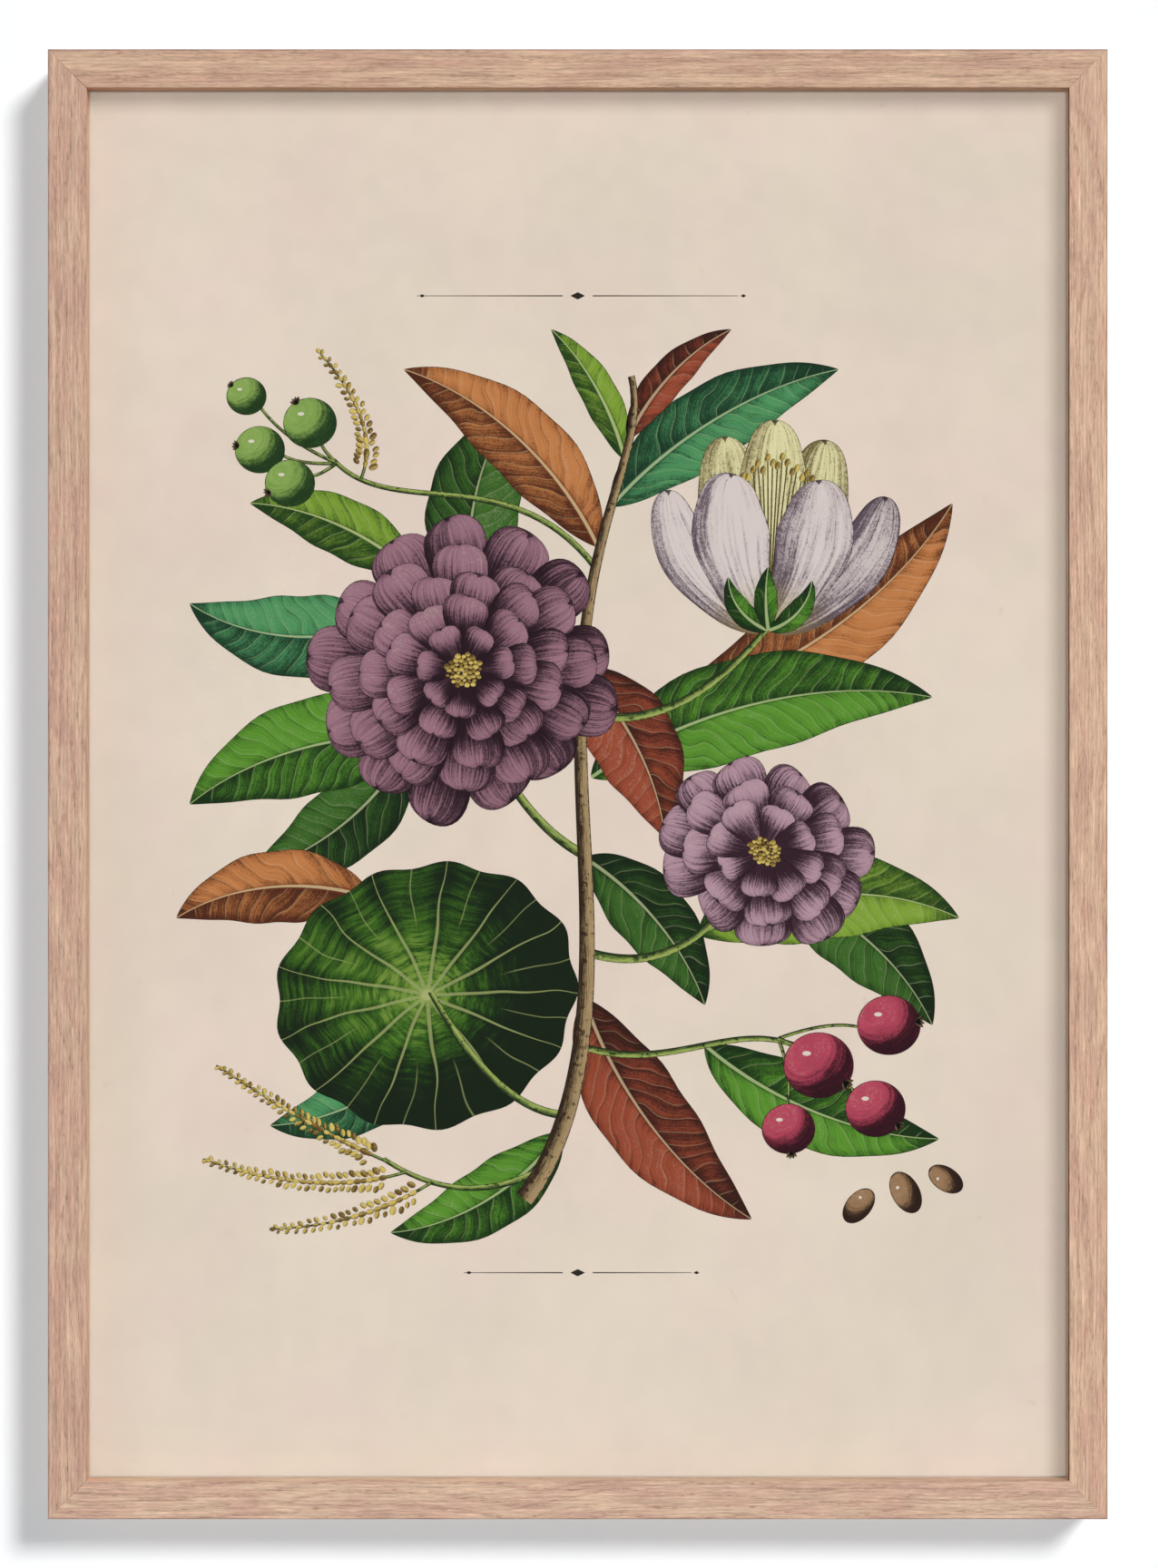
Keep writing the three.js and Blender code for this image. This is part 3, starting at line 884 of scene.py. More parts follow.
# Each leaf's ink, its foot, its tip, how far it bows to the left of its way, its half width and its layer.
LEAVES = [
    ("green", (4, 2), (106, 26), 13, 15.0, 3),
    ("russet", (29, 24), (112, 84), -12, 14.0, 2),
    ("blue_green", (10, 83), (78, 124), 8, 11.5, 4),
    ("russet", (6, 71), (-52, 124), -10, 11.5, 3),
    ("green", (-44, 14), (-116, -6), -9, 14.5, 3),
    ("blue_green", (-52, 50), (-116, 54), 10, 12.5, 3),
    ("yellow_green", (36, -45), (114, -40), 12, 13.5, 3),
    ("red_brown", (2, -64), (52, -130), -9, 13.5, 4),
    ("green", (-5, -104), (-56, -134), 8, 10.0, 5),
    ("russet", (-62, -34), (-120, -40), -8, 11.0, 2),
    ("deep_green", (-32, 58), (-20, 112), 6, 14.0, 2),
    ("red_brown", (15, 103), (46, 136), 5, 5.5, 5),
    ("yellow_green", (14, 97), (-8, 136), -4, 5.5, 5),
    ("deep_green", (58, -30), (106, -72), 8, 12.5, 2),
    ("deep_green", (-50, 12), (-98, -26), 8, 12.0, 1),
    ("red_brown", (1, 34), (26, -16), 6, 13.0, 4),
    ("yellow_green", (-48, 62), (-98, 84), -6, 9.0, 4),
    ("deep_green", (2, -22), (38, -66), 6, 11.0, 5),
    ("green", (38, -78), (108, -106), -8, 11.5, 2),
    ("blue_green", (-44, -80), (-92, -102), 6, 9.5, 1),
]
chance = random.Random(11)


def bowed(foot, tip, bow):
    """Control points from a foot to a tip, bowed to the left of the way between them."""
    foot, tip = Vector(foot), Vector(tip)
    way = tip - foot
    side = Vector((-way.y, way.x)).normalized() * bow
    return [foot, foot + way * 0.3 + side, foot + way * 0.7 + side * 1.1, tip]


for number, (ink, foot, tip, bow, half_width, level) in enumerate(LEAVES, 1):
    points = bowed(foot, tip, bow)
    tone = chance.uniform(0.3, 0.7)
    leaf = film(f"leaf_{number}", points, leaf_outline, half_width, level, rows=40, tone=tone, ends=2)
    print_on(leaf, leaf_inks[ink])

# ---- printed plate: its blooms ----
# A large double bloom and a smaller one, dusky purple with lilac lights and yellow stamens, and a pale cup
# seen from the side, cream and lilac with grey crayon in its folds.


def petal_outline(u):
    """Narrow at its foot, and widest near its rounded tip."""
    return u**0.62 * math.sqrt(max(0.0, 1 - u**5)) * 1.04


def fanned(tree, at, along, across):
    """Where to read noise so that it draws lines from the foot of a petal to its rim."""
    fan = product(tree, maths(tree, "SUBTRACT", at["v"], 0.5), across)
    return vector(tree, product(tree, at["u"], along), fan, product(tree, at["tone"], 40.0))


def petal_shading(tree, at, light, dark):
    """Darkest in the throat, with lines that run out to the rim and a light across the middle."""
    streak = noise(tree, fanned(tree, at, 1.6, 30.0), 1.0, 2.0, 0.6)
    shade = total(
        tree,
        rise(tree, at["u"], 0.30, 0.92, 1.0, 0.04),
        rise(tree, streak, 0.3, 0.7, -0.2, 0.24),
        rise(tree, at["margin"], 0.0, 2.2, 0.22, 0.0),
        rise(tree, at["v"], 0.3, 1.0, 0.0, 0.3),
        maths(tree, "SUBTRACT", at["tone"], 0.5),
    )
    return shade, light, dark, []


def ring_of_petals(middle, count, inner, outer, half_width, level, tilt, squash, tone, turn=0.0):
    """Petals round a middle, from an inner to an outer radius, on a bloom that is tipped back."""
    petals = []
    for i in range(count):
        angle = turn + 2 * math.pi * (i + chance.uniform(-0.12, 0.12)) / count
        long = outer * chance.uniform(0.93, 1.06)
        points = []
        for share in (0.0, 0.4, 0.75, 1.0):
            radius = inner + (long - inner) * share
            bend = angle + chance.uniform(-0.06, 0.06) * share
            away = Vector((math.cos(bend) * radius, math.sin(bend) * radius * squash))
            away.rotate(Matrix.Rotation(tilt, 2))
            points.append(Vector(middle) + away)
        facing = math.hypot(math.cos(angle), math.sin(angle) * squash)
        wide = half_width * (1 + (1 - facing) * 0.35) * chance.uniform(0.92, 1.06)
        away_from_light = (math.cos(angle + tilt) - math.sin(angle + tilt)) / math.sqrt(2)
        shade = tone + 0.15 * away_from_light + chance.uniform(-0.1, 0.1)
        notch = chance.uniform(0.02, 0.06)
        petals.append(
            film("petal", points, petal_outline, wide, level, 16, tone=shade, tuck=0.45, notch=notch, ends=1)
        )
    return petals


def round_outline(u):
    """The outline of a circle or an oval."""
    return math.sqrt(max(0.0, 1 - (2 * u - 1) ** 2))


def dot(name, middle, radius, level, tone, sides=9, stretch=1.0, turn=0.0):
    """A small round touch of ink, longer one way by a stretch."""
    way = Vector((math.cos(turn), math.sin(turn))) * radius * stretch
    curve = [Vector(middle) - way, Vector(middle) + way]
    return film(name, curve, round_outline, radius, level, rows=sides, columns=3, tone=tone, ends=2)


GOLDEN_ANGLE = 2.399963


def stamens(middle, radius, count, level, squash, tilt):
    """Touches of yellow in a spiral that fills the heart of a bloom."""
    parts = []
    for i in range(count):
        spread = radius * math.sqrt((i + 0.5) / count)
        angle = i * GOLDEN_ANGLE
        away = Vector((math.cos(angle) * spread, math.sin(angle) * spread * squash))
        away.rotate(Matrix.Rotation(tilt, 2))
        size = chance.uniform(0.55, 0.95)
        tone = chance.uniform(0.2, 0.9)
        parts.append(dot("stamen", Vector(middle) + away, size, level + i * 0.04, tone, sides=6))
    return parts


def stamen_shading(tree, at, light, dark):
    """Each touch in its own tone, and darker down one side."""
    return total(tree, at["tone"], rise(tree, at["v"], 0.3, 1.0, -0.2, 0.3)), light, dark, []


purple = ink_surface(
    "purple_petal_ink", (0.340, 0.165, 0.215), (0.034, 0.010, 0.020), INK_PLUM, 0.28, petal_shading
)
lilac = ink_surface(
    "lilac_petal_ink", (0.470, 0.285, 0.345), (0.070, 0.024, 0.044), INK_PLUM, 0.26, petal_shading
)
pollen = ink_surface(
    "stamen_ink", (0.700, 0.520, 0.130), (0.300, 0.170, 0.035), INK_BROWN, 0.14, stamen_shading
)


def bloom(name, middle, rings, level, tilt, squash, ink):
    """A double bloom, ring over ring, each ring a count, two radii, a half width and a tone."""
    petals = []
    for ring, (count, inner, outer, wide, tone) in enumerate(rings):
        place = (middle, count, inner, outer, wide, level + 1.6 * ring)
        petals += ring_of_petals(*place, tilt, squash, tone, turn=ring * 0.9)
    print_on(joined(name, petals), ink)


LARGE_BLOOM = (-34, 34)
large_rings = [
    (13, 8, 47, 12.5, 0.66),
    (12, 7, 39, 11.5, 0.55),
    (11, 6, 31, 10.0, 0.46),
    (9, 4, 23, 8.5, 0.40),
    (7, 0.5, 15, 6.5, 0.42),
]
bloom("large_bloom", LARGE_BLOOM, large_rings, 9, 0.2, 0.93, purple)
print_on(joined("large_bloom_stamens", stamens(LARGE_BLOOM, 5.5, 46, 18, 0.9, 0.2)), pollen)

SIDE_BLOOM = (56, -20)
side_rings = [(11, 5, 34, 10.5, 0.62), (9, 4, 26, 9.0, 0.46), (8, 0.5, 18, 7.0, 0.38)]
bloom("side_bloom", SIDE_BLOOM, side_rings, 9, -0.5, 0.78, lilac)
print_on(joined("side_bloom_stamens", stamens(SIDE_BLOOM, 5.0, 40, 15, 0.78, -0.5)), pollen)


def cup_shading(tree, at, light, dark):
    """Pale, with grey folds that run from the foot and a warm blush at the foot."""
    folds = noise(tree, fanned(tree, at, 2.0, 16.0), 1.0, 3.0, 0.65)
    shade = total(
        tree,
        rise(tree, folds, 0.38, 0.72, 0.0, 0.5),
        rise(tree, at["u"], 0.0, 0.5, 0.45, 0.0),
        rise(tree, at["v"], 0.55, 1.0, 0.0, 0.55),
        rise(tree, at["v"], 0.0, 0.2, 0.25, 0.0),
        maths(tree, "SUBTRACT", at["tone"], 0.5),
    )
    blush = rise(tree, at["u"], 0.02, 0.4, 0.75, 0.0)
    return shade, light, dark, [(blush, blend(tree, shade, (0.60, 0.52, 0.20), (0.26, 0.17, 0.07)))]


def cup_outline(u):
    """Full from its foot to its rounded tip, with a soft wave."""
    return u**0.5 * math.sqrt(max(0.0, 1 - u**3.2)) * (1 + 0.05 * math.sin(u * 13)) * 1.1


lilac_wash = ink_surface(
    "cup_outer_ink", (0.740, 0.630, 0.600), (0.240, 0.165, 0.215), INK_PLUM, 0.26, cup_shading
)
cream_wash = ink_surface(
    "cup_inner_ink", (0.790, 0.720, 0.400), (0.380, 0.290, 0.110), INK_BROWN, 0.26, cup_shading
)
CUP_FOOT = (57, 46)
CUP_STAMENS = 16
# Each petal's tip, bow, half width, layer and tone, from the back of the cup to its front.
CUP_INSIDE = [
    ((44, 104), 3, 13.0, 6.0, 0.60),
    ((74, 103), -3, 13.0, 6.6, 0.68),
    ((59, 109), 0, 13.5, 7.2, 0.52),
]
CUP_OUTSIDE = [
    ((27, 88), 9, 10.5, 8.0, 0.42),
    ((92, 86), -9, 11.0, 8.0, 0.78),
    ((46, 93), 6, 14.5, 8.8, 0.38),
    ((72, 91), -6, 14.5, 9.6, 0.56),
]
for name, rows, ink in (("cup_inside", CUP_INSIDE, cream_wash), ("cup_outside", CUP_OUTSIDE, lilac_wash)):
    petals = []
    for tip, bow, half_width, level, tone in rows:
        points = bowed(CUP_FOOT, tip, bow)
        sizes = {"half_width": half_width, "level": level, "rows": 26, "columns": 8}
        petals.append(film("petal", points, cup_outline, **sizes, tone=tone, tuck=0.3, notch=0.03, ends=1))
    print_on(joined(name, petals), ink)

sepals = []
for tip, bow, level in (((45, 62), 4, 10.4), ((70, 61), -4, 10.9), ((57, 65), 1, 11.4)):
    points = bowed(CUP_FOOT, tip, bow)
    sepals.append(film("sepal", points, leaf_outline, 3.6, level, rows=16, tone=0.6, ends=2))
print_on(joined("cup_sepals", sepals), leaf_inks["green"])

anthers = []
for i in range(CUP_STAMENS):
    spread = (i / (CUP_STAMENS - 1) - 0.5) * 2
    tip = (59 + spread * 11, 97 - abs(spread) * 5 + chance.uniform(-2, 2))
    thread = film("thread", [CUP_FOOT, tip], tapered(0.7), 0.28, level=7.9, rows=3, columns=1, tone=0.2)
    tone = chance.uniform(0.2, 0.8)
    anthers += [thread, dot("anther", tip, 0.85, 8.1, tone, sides=6, stretch=1.5, turn=1.2)]
print_on(joined("cup_stamens", anthers), pollen)

# ---- printed plate: its round leaf, hips, berries and seeds ----
# One great round leaf, deep green and lit at its middle, crimson hips, unripe green berries and three
# brown seeds, each drawn as a round form with a small window of bare paper for its light.


def disc(name, middle, radius, squash, turn, level, tone=0.5, rim=None, sides=48):
    """A round film with its own coordinates from -1 to 1, and a rim that may wave."""
    deselect_all()
    bpy.ops.mesh.primitive_circle_add(vertices=sides, radius=1, fill_type="TRIFAN")
    made = bpy.context.object
    made.name = name
    mesh = made.data
    mesh.name = name
    margin, tones = ink_layers(mesh)
    for loop in mesh.loops:
        co = mesh.vertices[loop.vertex_index].co
        mesh.uv_layers["share"].data[loop.index].uv = ((co.x + 1) / 2, (co.y + 1) / 2)
        mesh.uv_layers["reach"].data[loop.index].uv = (co.x * radius, co.y * radius)
    for vertex in mesh.vertices:
        x, z = vertex.co.x, vertex.co.y
        wave = rim(math.atan2(z, x)) if rim and vertex.co.length > 0.5 else 1.0
        margin.data[vertex.index].value = radius * min(squash, 1.0) * (1 - vertex.co.length)
        tones.data[vertex.index].value = tone
        spot = Vector((x * radius * wave, z * radius * squash * wave))
        spot.rotate(Matrix.Rotation(turn, 2))
        spot += Vector(middle)
        vertex.co = Vector((spot.x * MM, PRINT_Y - (level + 1) * INK_LAYER, MIDDLE_Z + spot.y * MM))
    return made


def centred(tree, at):
    """A disc's own coordinates, and the distance from its middle, as shares of its radius."""
    x = maths(tree, "SUBTRACT", product(tree, at["u"], 2.0), 1.0)
    y = maths(tree, "SUBTRACT", product(tree, at["v"], 2.0), 1.0)
    squares = total(tree, product(tree, x, x), product(tree, y, y))
    return x, y, maths(tree, "SQRT", squares)


ROUND_LEAF_RADIUS = 45.0
ROUND_LEAF_VEINS = 13


def round_leaf_shading(tree, at, light, dark):
    """Lit at its heart, with veins that fork as they run out from it, and hatching in fine rings."""
    x, y, out = centred(tree, at)
    angle = maths(tree, "ARCTAN2", y, x)
    waver = rise(tree, noise(tree, at["place"], 1 / 26.0, 1.0), 0.2, 0.8, -0.06, 0.06)
    angle = total(tree, angle, waver)

    def off_vein(count, shift):
        """The way to the nearest of a count of veins, in mm and as a share of the way between two."""
        turn = maths(tree, "FRACT", total(tree, product(tree, angle, count / math.tau), shift))
        near = maths(tree, "MINIMUM", turn, maths(tree, "SUBTRACT", 1.0, turn))
        return product(tree, near, product(tree, out, ROUND_LEAF_RADIUS * math.tau / count)), near

    first, between = off_vein(ROUND_LEAF_VEINS, 0.5)
    second = off_vein(ROUND_LEAF_VEINS, 0.0)[0]
    width = rise(tree, out, 0.1, 1.0, 0.75, 0.18)
    veins = rise(tree, maths(tree, "DIVIDE", first, width), 0.5, 1.0, 0.62, 0.0)
    forks = rise(tree, second, 0.08, 0.30, 1.0, 0.0)
    forks = product(tree, forks, rise(tree, out, 0.5, 0.66, 0.0, 0.42))
    lines = vector(tree, product(tree, angle, 2.2), product(tree, out, 36.0), at["tone"])
    hatch = noise(tree, lines, 1.0, 2.0, 0.6)
    shade = total(
        tree,
        rise(tree, out, 0.0, 1.0, 0.16, 0.88),
        product(tree, x, 0.32),
        product(tree, y, -0.30),
        rise(tree, hatch, 0.3, 0.7, -0.16, 0.20),
        rise(tree, between, 0.0, 0.32, 0.26, 0.0),
    )
    heart = rise(tree, out, 0.03, 0.05, 1.0, 0.0)
    glow = rise(tree, shade, 0.0, 0.45, 0.6, 0.0)
    pale = (0.40, 0.44, 0.16)
    return shade, light, dark, [(glow, (0.27, 0.37, 0.06)), (veins, pale), (forks, pale), (heart, pale)]


def scallop(angle):
    """How far the rim of the round leaf reaches, with a lobe for each vein."""
    return 1 + 0.022 * math.cos(ROUND_LEAF_VEINS * angle + math.pi) + 0.012 * math.sin(3 * angle)


green_light, green_dark = (0.062, 0.180, 0.014), (0.003, 0.018, 0.004)
round_ink = ink_surface("round_leaf_ink", green_light, green_dark, INK_GREEN, 0.34, round_leaf_shading)
round_leaf = disc("round_leaf", (-45, -63), ROUND_LEAF_RADIUS, 0.87, 0.25, 5.0, rim=scallop, sides=156)
print_on(round_leaf, round_ink)


def round_shading(tree, at, light, dark):
    """A smooth ball lit from the upper left, hatched along its rounds, with a window of light."""
    x, y, out = centred(tree, at)
    swell = maths(tree, "SUBTRACT", 1.0, maths(tree, "POWER", out, 2.0))
    swell = maths(tree, "SQRT", maths(tree, "MAXIMUM", swell, 0.0))
    facing = total(tree, product(tree, x, -0.46), product(tree, y, 0.50), product(tree, swell, 0.72))
    rounds = vector(tree, product(tree, facing, 12.0), product(tree, x, 1.6), at["tone"])
    hatch = noise(tree, rounds, 1.0, 2.0, 0.6)
    shade = total(
        tree,
        rise(tree, facing, 0.0, 0.95, 1.0, 0.0),
        rise(tree, hatch, 0.3, 0.7, -0.12, 0.16),
        rise(tree, out, 0.9, 1.0, 0.0, -0.2),
    )
    window_x = maths(tree, "DIVIDE", total(tree, x, 0.34), 0.13)
    window_y = maths(tree, "DIVIDE", maths(tree, "SUBTRACT", y, 0.36), 0.075)
    window = total(tree, maths(tree, "POWER", window_x, 2.0), maths(tree, "POWER", window_y, 2.0))
    window = rise(tree, window, 0.6, 1.2, 0.92, 0.0)
    return shade, light, dark, [(window, (0.80, 0.70, 0.60))]


crimson = ink_surface("hip_ink", (0.480, 0.060, 0.105), (0.060, 0.004, 0.013), INK_PLUM, 0.28, round_shading)
unripe = ink_surface(
    "berry_ink", (0.250, 0.390, 0.085), (0.024, 0.085, 0.016), INK_GREEN, 0.26, round_shading
)
brown = ink_surface("seed_ink", (0.330, 0.185, 0.090), (0.034, 0.014, 0.008), INK_BROWN, 0.28, round_shading)
dark_tip = ink_surface(
    "calyx_ink", (0.200, 0.130, 0.060), (0.030, 0.018, 0.012), INK_BROWN, 0.2, stalk_shading
)


def hung_fruit(name, middle, radius, node, level, ink, squash=0.94):
    """A round fruit on a short stalk from a node, with a small dry calyx at its far end."""
    middle, node = Vector(middle), Vector(node)
    way = (middle - node).normalized()
    sag = Vector((-way.y, way.x)) * (middle - node).length * 0.12
    curve = [node, (node + middle) / 2 + sag, middle - way * radius * 0.8]
    print_on(film(f"{name}_stalk", curve, tapered(0.8), 0.55, level, rows=12, columns=3), green_stalk)
    print_on(disc(name, middle, radius, squash, 0.0, level + 1.2, chance.random() * 20), ink)
    tips = []
    for spread in (-0.7, -0.25, 0.25, 0.7):
        foot = middle + way * radius * 0.84
        away = Vector(way)
        away.rotate(Matrix.Rotation(spread, 2))
        curve = [foot, foot + away * radius * 0.3]
        tips.append(film("tip", curve, leaf_outline, radius * 0.07, level + 2.2, rows=6, columns=2, ends=2))
    print_on(joined(f"{name}_calyx", tips), dark_tip)


# Each fruit's middle, radius and layer.
HIPS_NODE = (60, -76)
HIPS = [((72, -84), 10.5, 10.5), ((93, -72), 9.5, 8.5), ((89, -97), 9.0, 8.5), ((63, -103), 8.0, 8.5)]
for number, (middle, radius, level) in enumerate(HIPS, 1):
    hung_fruit(f"hip_{number}", middle, radius, HIPS_NODE, level, crimson)

BERRIES_NODE = (-72, 96)
BERRIES = [((-80, 108), 8.0, 8.5), ((-95, 100), 7.5, 7.5), ((-86, 90), 7.5, 10.0), ((-99, 116), 6.0, 9.0)]
for number, (middle, radius, level) in enumerate(BERRIES, 1):
    hung_fruit(f"green_berry_{number}", middle, radius, BERRIES_NODE, level, unripe)

# Each seed's middle, radius and turn.
SEEDS = [((98, -122), 4.2, 0.5), ((84, -126), 3.8, -0.7), ((110, -118), 3.6, 1.0)]
for number, (middle, radius, turn) in enumerate(SEEDS, 1):
    print_on(disc(f"seed_{number}", middle, radius, 1.6, turn, 3.0, number * 3.0), brown)

# ---- printed plate: its flower spikes and rules ----
# Small yellow florets crowd along thin stalks, and a fine rule with a lozenge closes the plate above and
# below.


def flower_spike(name, points, count, level):
    """Florets on either side of a thin stalk, smaller towards its tip."""
    parts = []
    for i in range(count):
        u = 0.12 + 0.88 * (i + chance.uniform(-0.3, 0.3)) / count
        spot, way = bezier(points, min(max(u, 0.0), 1.0))
        side = (i % 3 - 1) * (2.4 * (1 - u) + 0.7) * chance.uniform(0.7, 1.2)
        middle = spot + Vector((-way.y, way.x)) * side
        size = (1.25 - 0.5 * u) * chance.uniform(0.8, 1.15)
        turn = math.atan2(way.y, way.x) + (i % 3 - 1) * 0.9
        tone = chance.uniform(0.1, 0.9)
        layer = level + (i % 5) * 0.5
        parts.append(dot("floret", middle, size * 0.75, layer, tone, sides=6, stretch=1.5, turn=turn))
    stalk = film(f"{name}_stalk", points, tapered(0.5), 0.5, level - 0.6, rows=20, columns=3)
    print_on(stalk, green_stalk)
    print_on(joined(name, parts), pollen)


# Each spike's stalk, how far along it the spike springs, the points it then passes and its florets.
SPIKES = [
    ("stalk_to_spikes", 0.97, [(-78, -104), (-108, -84)], 78),
    ("stalk_to_spikes", 0.86, [(-78, -124), (-112, -112)], 78),
    ("stalk_to_spikes", 0.70, [(-64, -132), (-92, -133)], 56),
    ("stalk_to_green_berries", 0.86, [(-58, 108), (-78, 130)], 56),
]
for number, (stalk, share, points, count) in enumerate(SPIKES, 1):
    flower_spike(f"spike_{number}", [bezier(stalk_curves[stalk], share)[0], *points], count, 8)


def lozenge_outline(u):
    """Pointed at both ends, with straight sides."""
    return 1 - abs(2 * u - 1)


def rule(name, height, half_length):
    """A fine printed rule in two lengths, with a lozenge between them and a small one past each end."""
    looks = {"level": 1, "columns": 2, "tone": 0.9}
    parts = [film("lozenge", [(-2.2, height), (2.2, height)], lozenge_outline, 1.1, rows=8, **looks)]
    for side in (-1, 1):
        end = side * half_length
        line, small = [(side * 4.5, height), (end, height)], [(end + 0.6, height), (end + 2.4, height)]
        parts.append(film("line", line, tapered(0.5), 0.17, rows=30, **looks))
        parts.append(film("lozenge", small, lozenge_outline, 0.5, rows=8, **looks))
    return joined(name, parts)


def black_shading(tree, at, light, dark):
    """Plain ink in one tone."""
    return at["tone"], light, dark, []


BLACK, SOFT_BLACK, DEEP_BLACK = (0.028, 0.021, 0.018), (0.060, 0.045, 0.038), (0.02, 0.015, 0.013)
black = ink_surface("black_ink", SOFT_BLACK, BLACK, DEEP_BLACK, 0.1, black_shading)
print_on(rule("top_rule", 146, 48), black)
print_on(rule("bottom_rule", -146, 34), black)

# ---- glazing ----
# A 2 mm pane of clear float glass, cut to fit the rebate. It lies against the back of the front lip, a
# hair in front of the sheet.


def float_glass():
    """Clear glass that lets the light through to what lies behind it."""
    made, tree, output = empty_material("float_glass")
    tint = (0.985, 0.995, 0.99, 1)
    inputs = {"Base Color": tint, "Roughness": 0.0, "IOR": 1.5, "Transmission Weight": 1.0}
    pane = add(tree, "ShaderNodeBsdfPrincipled", inputs)
    clear = add(tree, "ShaderNodeBsdfTransparent", {"Color": (0.96, 0.965, 0.962, 1)})
    ray = add(tree, "ShaderNodeLightPath").outputs
    lighting = maths(tree, "MAXIMUM", ray["Is Shadow Ray"], ray["Is Diffuse Ray"])
    mixed = add(tree, "ShaderNodeMixShader", {0: lighting, 1: pane.outputs[0], 2: clear.outputs[0]})
    tree.links.new(mixed.outputs[0], output.inputs["Surface"])
    return made


repaint("glazing", float_glass())

# ---- backing board ----
# A 3 mm panel of medium-density fibreboard, sawn to size. It keeps the sheet flat, and its fine brown
# fibre shows from behind.


def pressed_fibre():
    """Pressed wood fibre, faintly clouded, with pale strands and darker chips."""
    made, tree, output = empty_material("pressed_fibre")
    place = place_in_mm(tree)
    cloud = noise(tree, place, 1 / 40, 3.0, 0.6)
    fibre = noise(tree, place, 1 / 0.9, 4.0, 0.7)
    chip = rise(tree, noise(tree, place, 1 / 2.2, 2.0, 0.6), 0.60, 0.70)
    board = blend(tree, rise(tree, cloud, 0.3, 0.7), (0.285, 0.172, 0.098), (0.235, 0.138, 0.078))
    board = blend(tree, rise(tree, fibre, 0.35, 0.7, 0.0, 0.45), board, (0.40, 0.262, 0.158))
    board = blend(tree, product(tree, chip, 0.5), board, (0.125, 0.070, 0.040))
    inputs = {"Base Color": board, "Roughness": 0.82, "Specular IOR Level": 0.3}
    coat(tree, output, inputs, fibre, strength=0.3, deep=0.05)
    return made


repaint("backing_board", pressed_fibre())

# ---- tabs ----
# Ten flat tabs stamped from zinc-plated spring steel. Each is driven point first into the wall of the
# rebate, and its free end, with a pressed groove and a tip that curls up, is bent down onto the board.

TAB_CORNER = 0.8 * MM
TAB_POINT = 2.0 * MM
TAB_LIFT = 0.35 * MM  # of the tip, off the board
TAB_CURL = 2.0 * MM  # the length of the tip that curls
TAB_EDGE = 0.07 * MM
GROOVE_WIDTH, GROOVE_DEPTH = 1.6 * MM, 0.14 * MM
GROOVE_FROM_TIP = 2.8 * MM
GROOVE_FROM_POINT = 0.42  # of a tab's length


def metal_surface():
    """Thin plating as it comes from the box: fine rolling lines and dull blotches.
    Takes a place in millimetres, with X along the rolling."""
    tree, given, out = new_group(
        "metal_surface", {"Place": "Vector"}, {"Dull": "Float", "Lines": "Float", "Roughness": "Float"}
    )
    place = given["Place"]
    long = add(tree, "ShaderNodeMapping", {"Vector": place, "Scale": (0.35, 14.0, 14.0)}).outputs[0]
    lines = noise(tree, long, 1.0, 3.0, 0.6)
    dull = rise(tree, noise(tree, place, 0.8, 3.0, 0.6), 0.42, 0.66)
    roughness = total(tree, rise(tree, lines, 0.3, 0.7, 0.26, 0.38), product(tree, dull, 0.18))
    put_out(tree, out, {"Dull": dull, "Lines": lines, "Roughness": roughness})
    return tree


METAL_SURFACE = metal_surface()


def plated_metal(name, bright, dull):
    """Plated metal of a bright colour, blotched with a dull one."""
    made, tree, output = empty_material(name)
    surface = use_group(tree, METAL_SURFACE, {"Place": place_in_mm(tree)})
    colour = blend(tree, product(tree, surface["Dull"], 0.75), bright, dull)
    inputs = {"Base Color": colour, "Metallic": 1.0, "Roughness": surface["Roughness"]}
    coat(tree, output, inputs, surface["Lines"], strength=0.2, deep=0.02)
    return made


def soften(piece, width, segments=2, degrees=40):
    """Rounds every edge of a piece that is sharper than an angle."""
    limit = math.radians(degrees)
    settings = {"width": width, "segments": segments, "limit_method": "ANGLE", "angle_limit": limit}
    apply_modifier(piece, "BEVEL", **settings, use_clamp_overlap=True)


